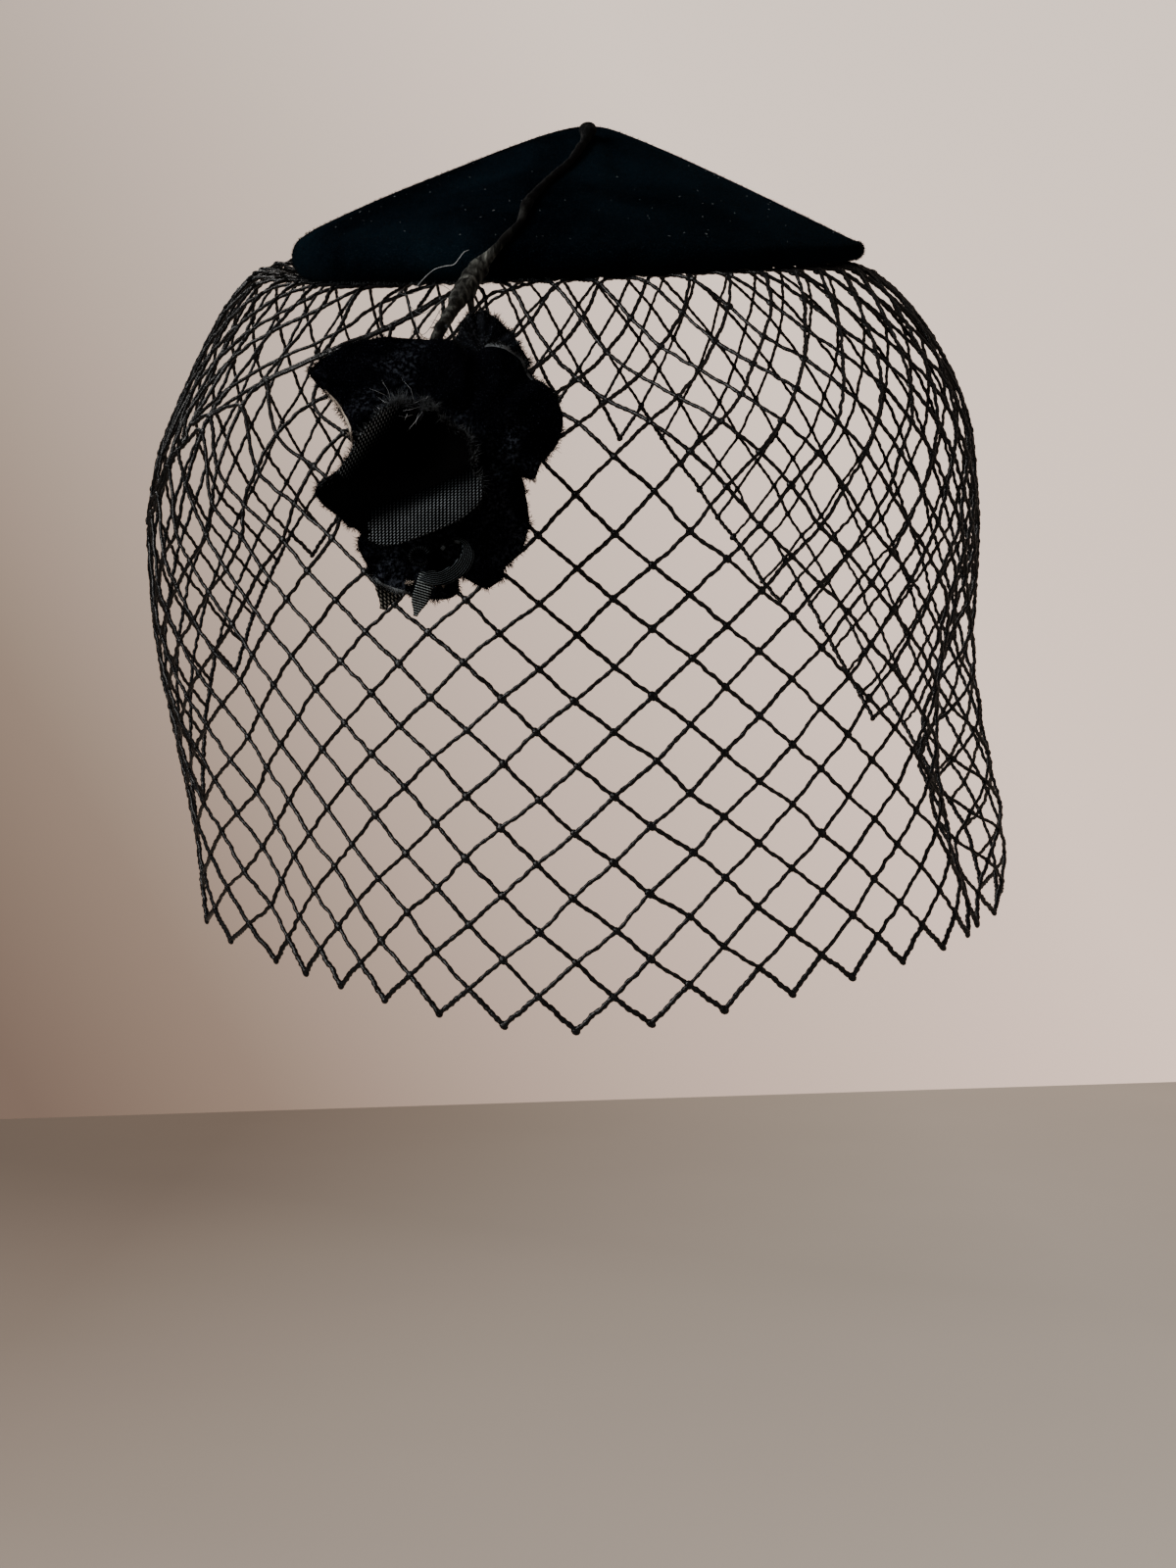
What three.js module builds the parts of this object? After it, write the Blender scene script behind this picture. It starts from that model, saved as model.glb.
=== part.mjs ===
// A velvet fascinator: shallow cone hat, net veil gathered under its rim, wire stem and cloth flower.
// Millimetres, +Z up. The origin is the centre of the hat's rim plane, which sits on the head.
// The wearer faces -Y, so +X is the viewer's right.
import * as THREE from 'three';

const DEG = Math.PI / 180;

// ---- hat ----
const HAT_RADIUS = 69;
const HAT_HEIGHT = 29.6;
const HAT_TILT = 14 * DEG;
const HAT_WALL = 2.0;
const HAT_APEX_SHIFT = 3.5;
const APEX_WALL = 1.08;
const HAT_APEX_ROUND = 0.09;
const HAT_BELLY = 1.5;
const LIP_THIN = 2.0;
const LIP_TURNED = 3.6;
const LIP_THIN_SIDE = 10 * DEG;
const LIP_TOP_ANGLE = 66;
const LIP_END_ANGLE = -112;
const LIP_CORE = 0.35;
const LIP_POWER = 1.3;
const LIP_RISE = 0.9;
const LIP_SINK = 0.46;
const HAT_SEGMENTS = 40;
// Where the section of the hat has its corners: shares from apex to lip, and angles round the lip.
const HAT_RINGS = [0.07, 0.18, 0.42, 0.7];
const LIP_OUTER_ANGLES = [LIP_TOP_ANGLE, 33, 0, -33, -62, -90, LIP_END_ANGLE];
const LIP_INNER_ANGLES = [LIP_END_ANGLE, -72, -30, 10, LIP_TOP_ANGLE];

// ---- veil ----
const VEIL_INSET = 6;
const VEIL_BELOW_LIP = 1.6;
const VEIL_THICK = 1.6;
const VEIL_COLUMNS = 20;
const VEIL_ROWS = 8;
const STRAND_HALF = 2.4;
const STRAND_MOST = 0.42;
// The band sewn under the rim: its share of the length, its half height in rows, its corners in columns.
const BAND_SHARE = 0.012;
const BAND_HALF = 0.11;
const BAND_CORNER = 0.22;
const HEM_FULL_FROM = 0.92;
const HEM_SLACK = 0.2;
const SIDE_STEPS = 12;

// How far the veil stands out from the rim and how far it drops below it, side by side.
const VEIL_SIDES = {
  columns: ['out', 'drop'],
  front: [
    [0, 0], [8, 2], [17, 16], [31, 28], [45, 39], [50, 54], [50, 81], [50, 107], [49.5, 133], [49, 157],
  ],
  front_right: [
    [0, 0], [9, 2], [17, 11], [27, 22], [36, 35], [41, 54], [43, 81], [44, 107], [46, 133], [47, 158],
  ],
  right: [
    [0, 0], [10, 3], [18, 9], [24.5, 20], [30, 37], [32.5, 62], [32, 90], [35, 112], [38.5, 138], [33.5, 164],
  ],
  back_right: [
    [0, 0], [10, 4], [18, 10], [25, 22], [29, 40], [30, 66], [30, 92], [32, 118], [34, 142], [34, 166],
  ],
  back: [
    [0, 0], [8, 4], [16, 10], [23, 22], [27, 40], [28, 66], [28, 92], [28, 118], [28, 142], [28, 166],
  ],
  back_left: [
    [0, 0], [10, 4], [20, 10], [28, 20], [33, 38], [36, 64], [35, 90], [33, 114], [32, 140], [32, 166],
  ],
  left: [
    [0, 0], [11, 3], [22, 9], [30, 19], [36.5, 36], [40.5, 60], [39, 86], [33.5, 112], [29, 138], [28, 164],
  ],
  front_left: [
    [0, 0], [9, 2], [18, 12], [29, 24], [38, 37], [41, 56], [39, 82], [35, 107], [31.5, 133], [29, 158],
  ],
};
const SIDE_NAMES = Object.keys(VEIL_SIDES).filter((name) => name !== 'columns');

// Share of the full length that the net has at each azimuth, from the front round by the viewer's right.
const HEM = {
  columns: ['azimuth_deg', 'share'],
  rows: [
    [0, 1.0], [30, 0.965], [60, 0.94], [90, 0.93], [120, 0.8], [150, 0.5],
    [180, 0.27], [210, 0.38], [240, 0.7], [270, 0.92], [300, 0.94], [330, 0.965],
  ],
};

// ---- stem: route below the rim as X, Y, Z, and radius ----
const STEM_AZIMUTH = -18.4 * DEG;
const STEM_LIFT = 0.5;
// On the slope the wire sits this many radii above the cloth, measured straight up.
const STEM_SEAT = 1.12;
const STEM_SIDES = 8;
const STEM_LIP_ANGLES = [58, 30, 0];
const STEM_LIP_RADIUS = 1.1;
const STEM_OVER_HAT = {
  columns: ['share_of_radius', 'sideways', 'radius'],
  rows: [
    [0.05, 0, 1.5], [0.12, 0, 1.4], [0.2, 0.3, 1.1], [0.35, 0.9, 1.0], [0.55, -0.9, 1.0], [0.64, -1.2, 1.3],
    [0.8, 0.5, 1.1], [0.92, 0.2, 1.1],
  ],
};
const STEM_BELOW = {
  columns: ['x', 'y', 'z', 'radius'],
  rows: [
    [-23.2, -76.5, -23.5, 1.4], [-24.0, -88, -31, 1.9], [-25.3, -101, -40, 2.0], [-26.6, -112, -49, 2.3],
    [-27.2, -117.4, -58, 2.6], [-27.2, -118.3, -68, 2.6],
  ],
};

// ---- flower ----
const FLOWER = { x: -26.6, y: -121.2, z: -64.0 };
const PETAL_WALL = 1.3;
const PETAL_STEP = 1.7;
const PETAL_ALONG = 8;
const PETAL_ACROSS = 6;
// root_x, root_z: the root off the flower's middle; turn: direction in degrees from the viewer's right;
// level: place in the stack; curl: how far the tip comes forward; cup: how far the two edges do.
const PETALS = {
  columns: ['name', 'root_x', 'root_z', 'turn', 'length', 'half_width', 'level', 'curl', 'cup', 'shape'],
  rows: [
    ['petal_right', 0, 1, 18, 25.0, 12, 0, -1.2, 1.0, 'broad'],
    ['petal_lower_right', 2, -1, -44, 22.5, 9.5, 1, 0.2, 1.2, 'broad'],
    ['petal_top', 1.5, 5, 66, 21.5, 7.5, 1, 0.8, 1.2, 'blunt'],
    ['petal_upper_left', -1, 3, 146, 24.5, 10.5, 2, 0.6, 1.2, 'pointed'],
    ['petal_lower', -1.5, -4, -104, 22.5, 7.0, 2, 0.5, 0.6, 'blunt'],
    ['petal_left', 3, 1, 200, 24.5, 8.5, 3, 1.0, 1.4, 'pointed'],
    ['petal_cup', -3.5, 9.5, -82, 25.5, 12.5, 4.2, 5.5, 3.5, 'broad'],
  ],
};
const PETAL_SHAPES = {
  columns: ['share_of_length', 'share_of_width'],
  broad: [[0, 0.34], [0.15, 0.62], [0.4, 0.95], [0.65, 1.0], [0.85, 0.78], [1, 0.34]],
  pointed: [[0, 0.34], [0.15, 0.66], [0.4, 1.0], [0.65, 0.82], [0.85, 0.45], [1, 0.08]],
  blunt: [[0, 0.34], [0.15, 0.5], [0.4, 0.72], [0.65, 0.95], [0.85, 1.0], [1, 0.7]],
};

// Small cloth pieces under the petals, from the flower's middle: right, up and forward.
const RIBBON_WALL = 1.0;
const RIBBON_STEPS = 14;
const RIBBON_LOOP = { left: -0.8, right: 7.4, up: -22.7, forward: 7.7, half_height: 3.5, half_depth: 1.9 };
const FLAT_PIECES = {
  columns: ['name', 'forward', 'outline (right, up)'],
  rows: [
    [
      'ribbon_tail', 2.3,
      [[-4.4, -19], [-4.4, -30.6], [-3.4, -32.2], [-2.2, -30.4], [-0.8, -31.6], [-0.8, -19]],
    ],
    [
      'backing_tab', 2.4,
      [[-11.6, -22], [-9.6, -30.4], [-8.2, -31.2], [-5.2, -28.4], [-5.2, -22]],
    ],
  ],
};

const MATERIALS = {
  velvet: new THREE.MeshStandardMaterial({ color: 0x0b0b0d, roughness: 0.96, metalness: 0 }),
  net: new THREE.MeshStandardMaterial({ color: 0x141417, roughness: 0.45, metalness: 0 }),
  wrapped_wire: new THREE.MeshStandardMaterial({ color: 0x2a2724, roughness: 0.8, metalness: 0 }),
  woven_cloth: new THREE.MeshStandardMaterial({ color: 0x1e2024, roughness: 0.85, metalness: 0 }),
};

const group = new THREE.Group();

function addPiece(name, slot, geometry) {
  geometry.computeVertexNormals();
  const mesh = new THREE.Mesh(geometry, MATERIALS[slot]);
  mesh.name = name;
  group.add(mesh);
}

// ---- meshes ----
class Surface {
  constructor() {
    this.points = [];
    this.faces = [];
  }

  point(p) {
    this.points.push(p.x, p.y, p.z);
    return this.points.length / 3 - 1;
  }

  tri(a, b, c) {
    this.faces.push(a, b, c);
  }

  quad(a, b, c, d) {
    this.tri(a, b, c);
    this.tri(a, c, d);
  }

  geometry() {
    const g = new THREE.BufferGeometry();
    g.setAttribute('position', new THREE.Float32BufferAttribute(this.points, 3));
    g.setIndex(this.faces);
    return g;
  }
}

const vec = (x, y, z) => new THREE.Vector3(x, y, z);
const mix = (a, b, t) => a + (b - a) * t;

function lookUp(rows, x) {
  let k = 0;
  while (k < rows.length - 2 && x > rows[k + 1][0]) k += 1;
  const [x0, y0] = rows[k];
  const [x1, y1] = rows[k + 1];
  return mix(y0, y1, (x - x0) / (x1 - x0));
}

// A tube along a path of {p, r}; each end is closed by a blunt point.
function tube(path, sides) {
  const s = new Surface();
  const rings = path.map(({ p, r }, k) => {
    const before = path[Math.max(k - 1, 0)].p;
    const after = path[Math.min(k + 1, path.length - 1)].p;
    const along = after.clone().sub(before).normalize();
    const side = vec(1, 0, 0).cross(along).normalize();
    const up = along.clone().cross(side);
    return Array.from({ length: sides }, (_, m) => {
      const a = (2 * Math.PI * m) / sides;
      return s.point(p.clone().addScaledVector(side, r * Math.cos(a)).addScaledVector(up, r * Math.sin(a)));
    });
  });
  for (let k = 0; k < rings.length - 1; k += 1) {
    for (let m = 0; m < sides; m += 1) {
      const n = (m + 1) % sides;
      s.quad(rings[k][m], rings[k][n], rings[k + 1][n], rings[k + 1][m]);
    }
  }
  const last = path.length - 1;
  const tail = path[0].p.clone().lerp(path[1].p, -0.25);
  const head = path[last].p.clone().lerp(path[last - 1].p, -0.15);
  const first = s.point(tail);
  const end = s.point(head);
  for (let m = 0; m < sides; m += 1) {
    const n = (m + 1) % sides;
    s.tri(first, rings[0][n], rings[0][m]);
    s.tri(end, rings[last][m], rings[last][n]);
  }
  return s.geometry();
}

// ---- hat ----
const tilted = (p) => p.applyAxisAngle(vec(1, 0, 0), HAT_TILT);
const turnedShare = (phi) => ((1 - Math.cos(phi - LIP_THIN_SIDE)) / 2) ** LIP_POWER;
const lipRadius = (phi) => LIP_THIN + LIP_TURNED * turnedShare(phi);
const lipHeight = (phi) => LIP_RISE * LIP_THIN - LIP_SINK * LIP_TURNED * turnedShare(phi);

function lipPoint(phi, angle, radius) {
  const out = HAT_RADIUS - lipRadius(phi) + radius * Math.cos(angle * DEG);
  return { out, z: lipHeight(phi) + radius * Math.sin(angle * DEG) };
}

// A point of the cone; q runs from the apex to the lip, depth is measured down from the outer face.
function conePoint(phi, q, depth) {
  const edge = lipPoint(phi, LIP_TOP_ANGLE, Math.max(lipRadius(phi) - depth, LIP_CORE));
  const round = HAT_APEX_ROUND;
  const fall = (Math.hypot(q, round) - round) / (Math.hypot(1, round) - round);
  const belly = 4 * q * (1 - q) * HAT_BELLY * turnedShare(phi);
  const top = HAT_HEIGHT - depth * APEX_WALL;
  const x = mix(HAT_APEX_SHIFT, edge.out * Math.cos(phi), q);
  return vec(x, edge.out * Math.sin(phi) * q, mix(top, edge.z, fall) + belly);
}

function crownSection(phi) {
  const at = (angle, radius) => {
    const { out, z } = lipPoint(phi, angle, radius);
    return vec(out * Math.cos(phi), out * Math.sin(phi), z);
  };
  const outer = lipRadius(phi);
  const inner = Math.max(outer - HAT_WALL, LIP_CORE);
  return [
    ...HAT_RINGS.map((q) => conePoint(phi, q, 0)),
    ...LIP_OUTER_ANGLES.map((angle) => at(angle, outer)),
    ...LIP_INNER_ANGLES.map((angle) => at(angle, inner)),
    ...[...HAT_RINGS].reverse().map((q) => conePoint(phi, q, HAT_WALL)),
  ];
}

function crown() {
  const s = new Surface();
  const rings = Array.from({ length: HAT_SEGMENTS }, (_, k) => {
    const phi = (2 * Math.PI * k) / HAT_SEGMENTS;
    return crownSection(phi).map((p) => s.point(tilted(p)));
  });
  const top = s.point(tilted(conePoint(0, 0, 0)));
  const underTop = s.point(tilted(conePoint(0, 0, HAT_WALL)));
  const last = rings[0].length - 1;
  rings.forEach((ring, k) => {
    const next = rings[(k + 1) % HAT_SEGMENTS];
    s.tri(top, ring[0], next[0]);
    for (let m = 0; m < last; m += 1) s.quad(ring[m], ring[m + 1], next[m + 1], next[m]);
    s.tri(underTop, next[last], ring[last]);
  });
  return s.geometry();
}

// ---- veil ----
// Even parameter along a smooth curve through the rows of one side.
function smoothSide(rows) {
  const at = (k) => {
    if (k < 0) return [2 * rows[0][0] - rows[1][0], 2 * rows[0][1] - rows[1][1]];
    if (k >= rows.length) {
      const [a, b] = [rows[rows.length - 1], rows[rows.length - 2]];
      return [2 * a[0] - b[0], 2 * a[1] - b[1]];
    }
    return rows[k];
  };
  const fine = [];
  for (let k = 0; k < rows.length - 1; k += 1) {
    for (let m = 0; m < SIDE_STEPS; m += 1) {
      const w = blend(m / SIDE_STEPS);
      fine.push([0, 1].map((c) => w.reduce((sum, v, n) => sum + v * at(k + n - 1)[c], 0)));
    }
  }
  fine.push(rows[rows.length - 1]);
  const lengths = [0];
  for (let k = 1; k < fine.length; k += 1) {
    lengths.push(lengths[k - 1] + Math.hypot(fine[k][0] - fine[k - 1][0], fine[k][1] - fine[k - 1][1]));
  }
  const whole = lengths[lengths.length - 1];
  return (u) => [0, 1].map((c) => lookUp(lengths.map((len, k) => [len, fine[k][c]]), u * whole));
}

const blend = (f) => [
  -0.5 * f + f * f - 0.5 * f ** 3,
  1 - 2.5 * f * f + 1.5 * f ** 3,
  0.5 * f + 2 * f * f - 1.5 * f ** 3,
  -0.5 * f * f + 0.5 * f ** 3,
];

const sideCurves = SIDE_NAMES.map((name) => smoothSide(VEIL_SIDES[name]));

function around(values, share) {
  const n = values.length;
  const k = (((share % 1) + 1) % 1) * n;
  const whole = Math.floor(k);
  return blend(k - whole).reduce((sum, w, m) => sum + w * values[(whole + m - 1 + n) % n], 0);
}

// The veil's worn surface: azimuth psi from the front, u from the rim down.
function veilPoint(psi, u) {
  const phi = psi - Math.PI / 2;
  const r = HAT_RADIUS - VEIL_INSET;
  const low = lipHeight(phi) - lipRadius(phi) - VEIL_BELOW_LIP;
  const p = tilted(vec(r * Math.cos(phi), r * Math.sin(phi), low));
  const pairs = sideCurves.map((curve) => curve(u));
  const share = psi / (2 * Math.PI);
  const out = around(pairs.map((pair) => pair[0]), share);
  const drop = around(pairs.map((pair) => pair[1]), share);
  return p.add(vec(out * Math.sin(psi), -out * Math.cos(psi), -drop));
}

function veilNormal(psi, u) {
  const e = 0.004;
  const round = veilPoint(psi + e, u).sub(veilPoint(psi - e, u));
  const down = veilPoint(psi, u + e).sub(veilPoint(psi, u - e < 0 ? 0 : u - e));
  return down.cross(round).normalize();
}

const hemShare = (psi) => around(HEM.rows.map((row) => row[1]), psi / (2 * Math.PI));
const fullShare = (psi) => Math.max(hemShare(psi), HEM_FULL_FROM);

function veil() {
  const s = new Surface();
  const stepU = (1 - BAND_SHARE) / VEIL_ROWS;
  const place = (col, row) => {
    const psi = (2 * Math.PI * col) / VEIL_COLUMNS;
    return { psi, u: BAND_SHARE + row * stepU * fullShare(psi) };
  };
  const seen = new Map();
  const vertex = (col, row) => {
    const turned = ((col % VEIL_COLUMNS) + VEIL_COLUMNS) % VEIL_COLUMNS;
    const key = `${turned.toFixed(4)}/${row.toFixed(4)}`;
    if (!seen.has(key)) {
      const { psi, u } = place(turned, row);
      const p = veilPoint(psi, Math.max(u, 0));
      const n = veilNormal(psi, Math.max(u, 0)).multiplyScalar(VEIL_THICK / 2);
      seen.set(key, { out: s.point(p.clone().add(n)), in: s.point(p.clone().sub(n)) });
    }
    return seen.get(key);
  };
  const sheet = (corners) => {
    for (let k = 1; k < corners.length - 1; k += 1) {
      s.tri(corners[0].out, corners[k].out, corners[k + 1].out);
      s.tri(corners[0].in, corners[k + 1].in, corners[k].in);
    }
  };
  const wall = (a, b) => s.quad(a.out, b.out, b.in, a.in);
  const exists = (col, row) => {
    if (row < 0) return false;
    const { psi } = place(col, row);
    return row <= (hemShare(psi) / fullShare(psi)) * VEIL_ROWS + HEM_SLACK;
  };
  // Share of a cell's half diagonal that the strand takes.
  const inset = (col, row) => {
    const here = place(col, row);
    const dPsi = Math.PI / VEIL_COLUMNS;
    const a = veilPoint(here.psi + dPsi, here.u).distanceTo(veilPoint(here.psi - dPsi, here.u)) / 2;
    const low = Math.max(here.u - stepU, 0);
    const high = Math.min(here.u + stepU, 1);
    const b = (veilPoint(here.psi, high).distanceTo(veilPoint(here.psi, low)) * stepU) / (high - low);
    return Math.min((STRAND_HALF * Math.hypot(a, b)) / (a * b), STRAND_MOST);
  };
  const isHole = (col, row) => exists(col, row + 1) && exists(col - 0.5, row) && exists(col + 0.5, row);
  // Corner of the strand at a node, on the side of the cell centre that lies at (dc, dr) from it.
  const corner = (col, row, dc, dr) => {
    if (row === 0) {
      if (dr < 0) return vertex(col, -BAND_HALF);
      return vertex(col + Math.sign(dc) * BAND_CORNER, BAND_HALF);
    }
    const [hc, hr] = [col + dc, row + dr];
    const centred = row === 1 && dr < 0 ? inset(col, 1) : inset(hc, hr);
    return vertex(col + dc * centred, row + dr * centred);
  };
  // Which outside corner a node at the hem takes, by the cells that are missing around it.
  const outside = (col, row) => {
    const open = [[-0.5, 0], [0, 1], [0.5, 0]].filter(([dc, dr]) => !isHole(col + dc, row + dr));
    const pick = open.length === 3 ? [[0, 1]] : open;
    const share = inset(col, Math.min(row, VEIL_ROWS - 1));
    const dc = pick.reduce((sum, o) => sum + o[0], 0) / pick.length;
    const dr = pick.reduce((sum, o) => sum + o[1], 0) / pick.length;
    return vertex(col + dc * share, row + dr * share);
  };
  const cornerFor = (col, row, dc, dr) => {
    if (row === 0 || dr < 0 || isHole(col + dc, row + dr)) return corner(col, row, dc, dr);
    return outside(col, row);
  };
  for (let row = 0; row <= VEIL_ROWS; row += 1) {
    for (let k = 0; k < VEIL_COLUMNS; k += 1) {
      const col = k + (row % 2) / 2;
      if (!exists(col, row)) continue;
      if (row === 0) {
        const right = col + 1;
        sheet([
          vertex(col, -BAND_HALF), vertex(col, BAND_HALF), corner(col, 0, 0.5, 0),
          corner(right, 0, -0.5, 0), vertex(right, BAND_HALF), vertex(right, -BAND_HALF),
        ]);
        wall(vertex(col, -BAND_HALF), vertex(right, -BAND_HALF));
        wall(corner(right, 0, -0.5, 0), corner(col, 0, 0.5, 0));
      } else {
        sheet(uniqueCorners([
          cornerFor(col, row, 0, -1), cornerFor(col, row, -0.5, 0),
          cornerFor(col, row, 0, 1), cornerFor(col, row, 0.5, 0),
        ]));
      }
      for (const side of [-1, 1]) {
        const below = col + side * 0.5;
        if (!exists(below, row + 1)) continue;
        strand(col, row, side);
      }
    }
  }
  function strand(col, row, side) {
    const low = col + side * 0.5;
    const upperSide = row === 0 ? corner(col, 0, side * 0.5, 0) : cornerFor(col, row, side * 0.5, 0);
    const lowerSide = row === 0 ? vertex(col, BAND_HALF) : cornerFor(col, row, 0, 1);
    const upperEnd = cornerFor(low, row + 1, 0, -1);
    const lowerEnd = cornerFor(low, row + 1, -side * 0.5, 0);
    if (side > 0) {
      sheet([upperSide, lowerSide, lowerEnd, upperEnd]);
      wall(upperSide, upperEnd);
      wall(lowerEnd, lowerSide);
    } else {
      sheet([lowerSide, upperSide, upperEnd, lowerEnd]);
      wall(upperEnd, upperSide);
      wall(lowerSide, lowerEnd);
    }
  }
  return s.geometry();
}

function uniqueCorners(corners) {
  return corners.filter((c, k) => c !== corners[(k + 1) % corners.length]);
}

// ---- stem ----
function stemPath() {
  const phi = STEM_AZIMUTH - Math.PI / 2;
  const sideways = vec(Math.cos(STEM_AZIMUTH), Math.sin(STEM_AZIMUTH), 0);
  const over = STEM_OVER_HAT.rows.map(([q, off, radius]) => {
    const surface = conePoint(phi, q, 0).addScaledVector(sideways, off);
    surface.z += radius * STEM_SEAT + STEM_LIFT;
    return { p: tilted(surface), r: radius };
  });
  const overLip = STEM_LIP_ANGLES.map((angle) => {
    const lip = lipPoint(phi, angle, lipRadius(phi) + STEM_LIP_RADIUS + STEM_LIFT);
    return { p: tilted(vec(lip.out * Math.cos(phi), lip.out * Math.sin(phi), lip.z)), r: STEM_LIP_RADIUS };
  });
  const below = STEM_BELOW.rows.map(([x, y, z, radius]) => ({ p: vec(x, y, z), r: radius }));
  return [...over, ...overLip, ...below];
}

// ---- flower ----
// Position from the flower's middle: right and up in its plane, forward towards the viewer.
const inFlower = (right, up, forward) => vec(FLOWER.x + right, FLOWER.y - forward, FLOWER.z + up);

function petal(row) {
  const spec = Object.fromEntries(PETALS.columns.map((name, k) => [name, row[k]]));
  const [c, d] = [Math.cos(spec.turn * DEG), Math.sin(spec.turn * DEG)];
  const s = new Surface();
  const grid = (face) => Array.from({ length: PETAL_ALONG + 1 }, (_, i) => {
    const along = i / PETAL_ALONG;
    const width = spec.half_width * lookUp(PETAL_SHAPES[spec.shape], along);
    return Array.from({ length: PETAL_ACROSS + 1 }, (__, j) => {
      const across = (2 * j) / PETAL_ACROSS - 1;
      const right = spec.root_x + c * spec.length * along - d * width * across;
      const up = spec.root_z + d * spec.length * along + c * width * across;
      const lift = spec.curl * along * along + spec.cup * along * across * across;
      const forward = spec.level * PETAL_STEP + lift + face * PETAL_WALL;
      return s.point(inFlower(right, up, forward));
    });
  });
  const front = grid(1);
  const back = grid(0);
  for (let i = 0; i < PETAL_ALONG; i += 1) {
    for (let j = 0; j < PETAL_ACROSS; j += 1) {
      s.quad(front[i][j], front[i + 1][j], front[i + 1][j + 1], front[i][j + 1]);
      s.quad(back[i][j], back[i][j + 1], back[i + 1][j + 1], back[i + 1][j]);
    }
    s.quad(front[i][0], back[i][0], back[i + 1][0], front[i + 1][0]);
    const e = PETAL_ACROSS;
    s.quad(front[i][e], front[i + 1][e], back[i + 1][e], back[i][e]);
  }
  for (let j = 0; j < PETAL_ACROSS; j += 1) {
    const e = PETAL_ALONG;
    s.quad(front[0][j], front[0][j + 1], back[0][j + 1], back[0][j]);
    s.quad(front[e][j], back[e][j], back[e][j + 1], front[e][j + 1]);
  }
  return s.geometry();
}

function ribbonLoop() {
  const s = new Surface();
  const ring = (right, wall) => Array.from({ length: RIBBON_STEPS }, (_, k) => {
    const a = (2 * Math.PI * k) / RIBBON_STEPS;
    const up = (RIBBON_LOOP.half_height - wall) * Math.cos(a);
    const forward = (RIBBON_LOOP.half_depth - wall) * Math.sin(a);
    return s.point(inFlower(right, RIBBON_LOOP.up + up, RIBBON_LOOP.forward + forward));
  });
  const rings = [
    ring(RIBBON_LOOP.left, 0), ring(RIBBON_LOOP.right, 0),
    ring(RIBBON_LOOP.right, RIBBON_WALL), ring(RIBBON_LOOP.left, RIBBON_WALL),
  ];
  for (let m = 0; m < rings.length; m += 1) {
    const [a, b] = [rings[m], rings[(m + 1) % rings.length]];
    for (let k = 0; k < RIBBON_STEPS; k += 1) {
      const n = (k + 1) % RIBBON_STEPS;
      s.quad(a[k], a[n], b[n], b[k]);
    }
  }
  return s.geometry();
}

// A flat piece of cloth with the given outline, one wall thick.
function flatPiece(forward, outline) {
  const s = new Surface();
  const [back, front] = [0, RIBBON_WALL].map((d) => (
    outline.map(([right, up]) => s.point(inFlower(right, up, forward + d)))
  ));
  const corners = outline.map(([right, up]) => new THREE.Vector2(right, up));
  THREE.ShapeUtils.triangulateShape(corners, []).forEach(([a, b, c]) => {
    s.tri(front[a], front[b], front[c]);
    s.tri(back[a], back[c], back[b]);
  });
  outline.forEach((_, k) => {
    const n = (k + 1) % outline.length;
    s.quad(front[k], back[k], back[n], front[n]);
  });
  return s.geometry();
}

addPiece('crown', 'velvet', crown());
addPiece('veil', 'net', veil());
addPiece('stem', 'wrapped_wire', tube(stemPath(), STEM_SIDES));
PETALS.rows.forEach((row) => addPiece(row[0], 'velvet', petal(row)));
addPiece('ribbon_loop', 'woven_cloth', ribbonLoop());
FLAT_PIECES.rows.forEach(([name, forward, outline]) => {
  addPiece(name, 'woven_cloth', flatPiece(forward, outline));
});

export default group;
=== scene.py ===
"""A black velvet fascinator with a diamond net veil, a taped wire stem and a cut velvet flower.

Lengths are millimetres in the part's own frame, and MM turns them into metres as each mesh is made.
The wearer faces -Y. An azimuth runs from the front (-Y) towards the viewer's right (+X).
"""
import collections
import math

import bmesh
import bpy
import numpy as np
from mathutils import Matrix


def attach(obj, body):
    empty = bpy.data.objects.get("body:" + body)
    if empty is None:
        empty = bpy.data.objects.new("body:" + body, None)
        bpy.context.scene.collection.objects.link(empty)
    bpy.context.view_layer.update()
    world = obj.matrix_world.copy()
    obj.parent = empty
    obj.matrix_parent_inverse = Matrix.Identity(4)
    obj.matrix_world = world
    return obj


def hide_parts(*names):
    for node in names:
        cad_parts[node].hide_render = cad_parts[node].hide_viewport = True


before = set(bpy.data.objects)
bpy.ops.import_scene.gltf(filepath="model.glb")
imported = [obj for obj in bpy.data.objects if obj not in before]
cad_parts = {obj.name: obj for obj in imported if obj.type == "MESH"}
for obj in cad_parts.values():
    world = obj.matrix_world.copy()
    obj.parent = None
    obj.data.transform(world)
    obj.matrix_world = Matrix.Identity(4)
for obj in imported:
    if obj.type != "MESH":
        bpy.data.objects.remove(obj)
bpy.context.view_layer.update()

MM = 0.001
TURN = 2 * math.pi
DEG = math.pi / 180
UP = (0.0, 0.0, 1.0)
BACK = (0.0, 1.0, 0.0)
rng = np.random.default_rng(11)


# ---- small helpers ----
def unit(vectors):
    return vectors / np.maximum(np.linalg.norm(vectors, axis=-1, keepdims=True), 1e-9)


def bump(x, middle, width):
    """A smooth hill of height 1 about the middle."""
    return np.exp(-(((x - middle) / width) ** 2))


def smooth_step(x, low, high):
    t = np.clip((x - low) / (high - low), 0, 1)
    return t * t * (3 - 2 * t)


def run_along(line):
    """Length along a line up to each of its points."""
    return np.r_[0, np.cumsum(np.linalg.norm(np.diff(line, axis=0), axis=1))]


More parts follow.
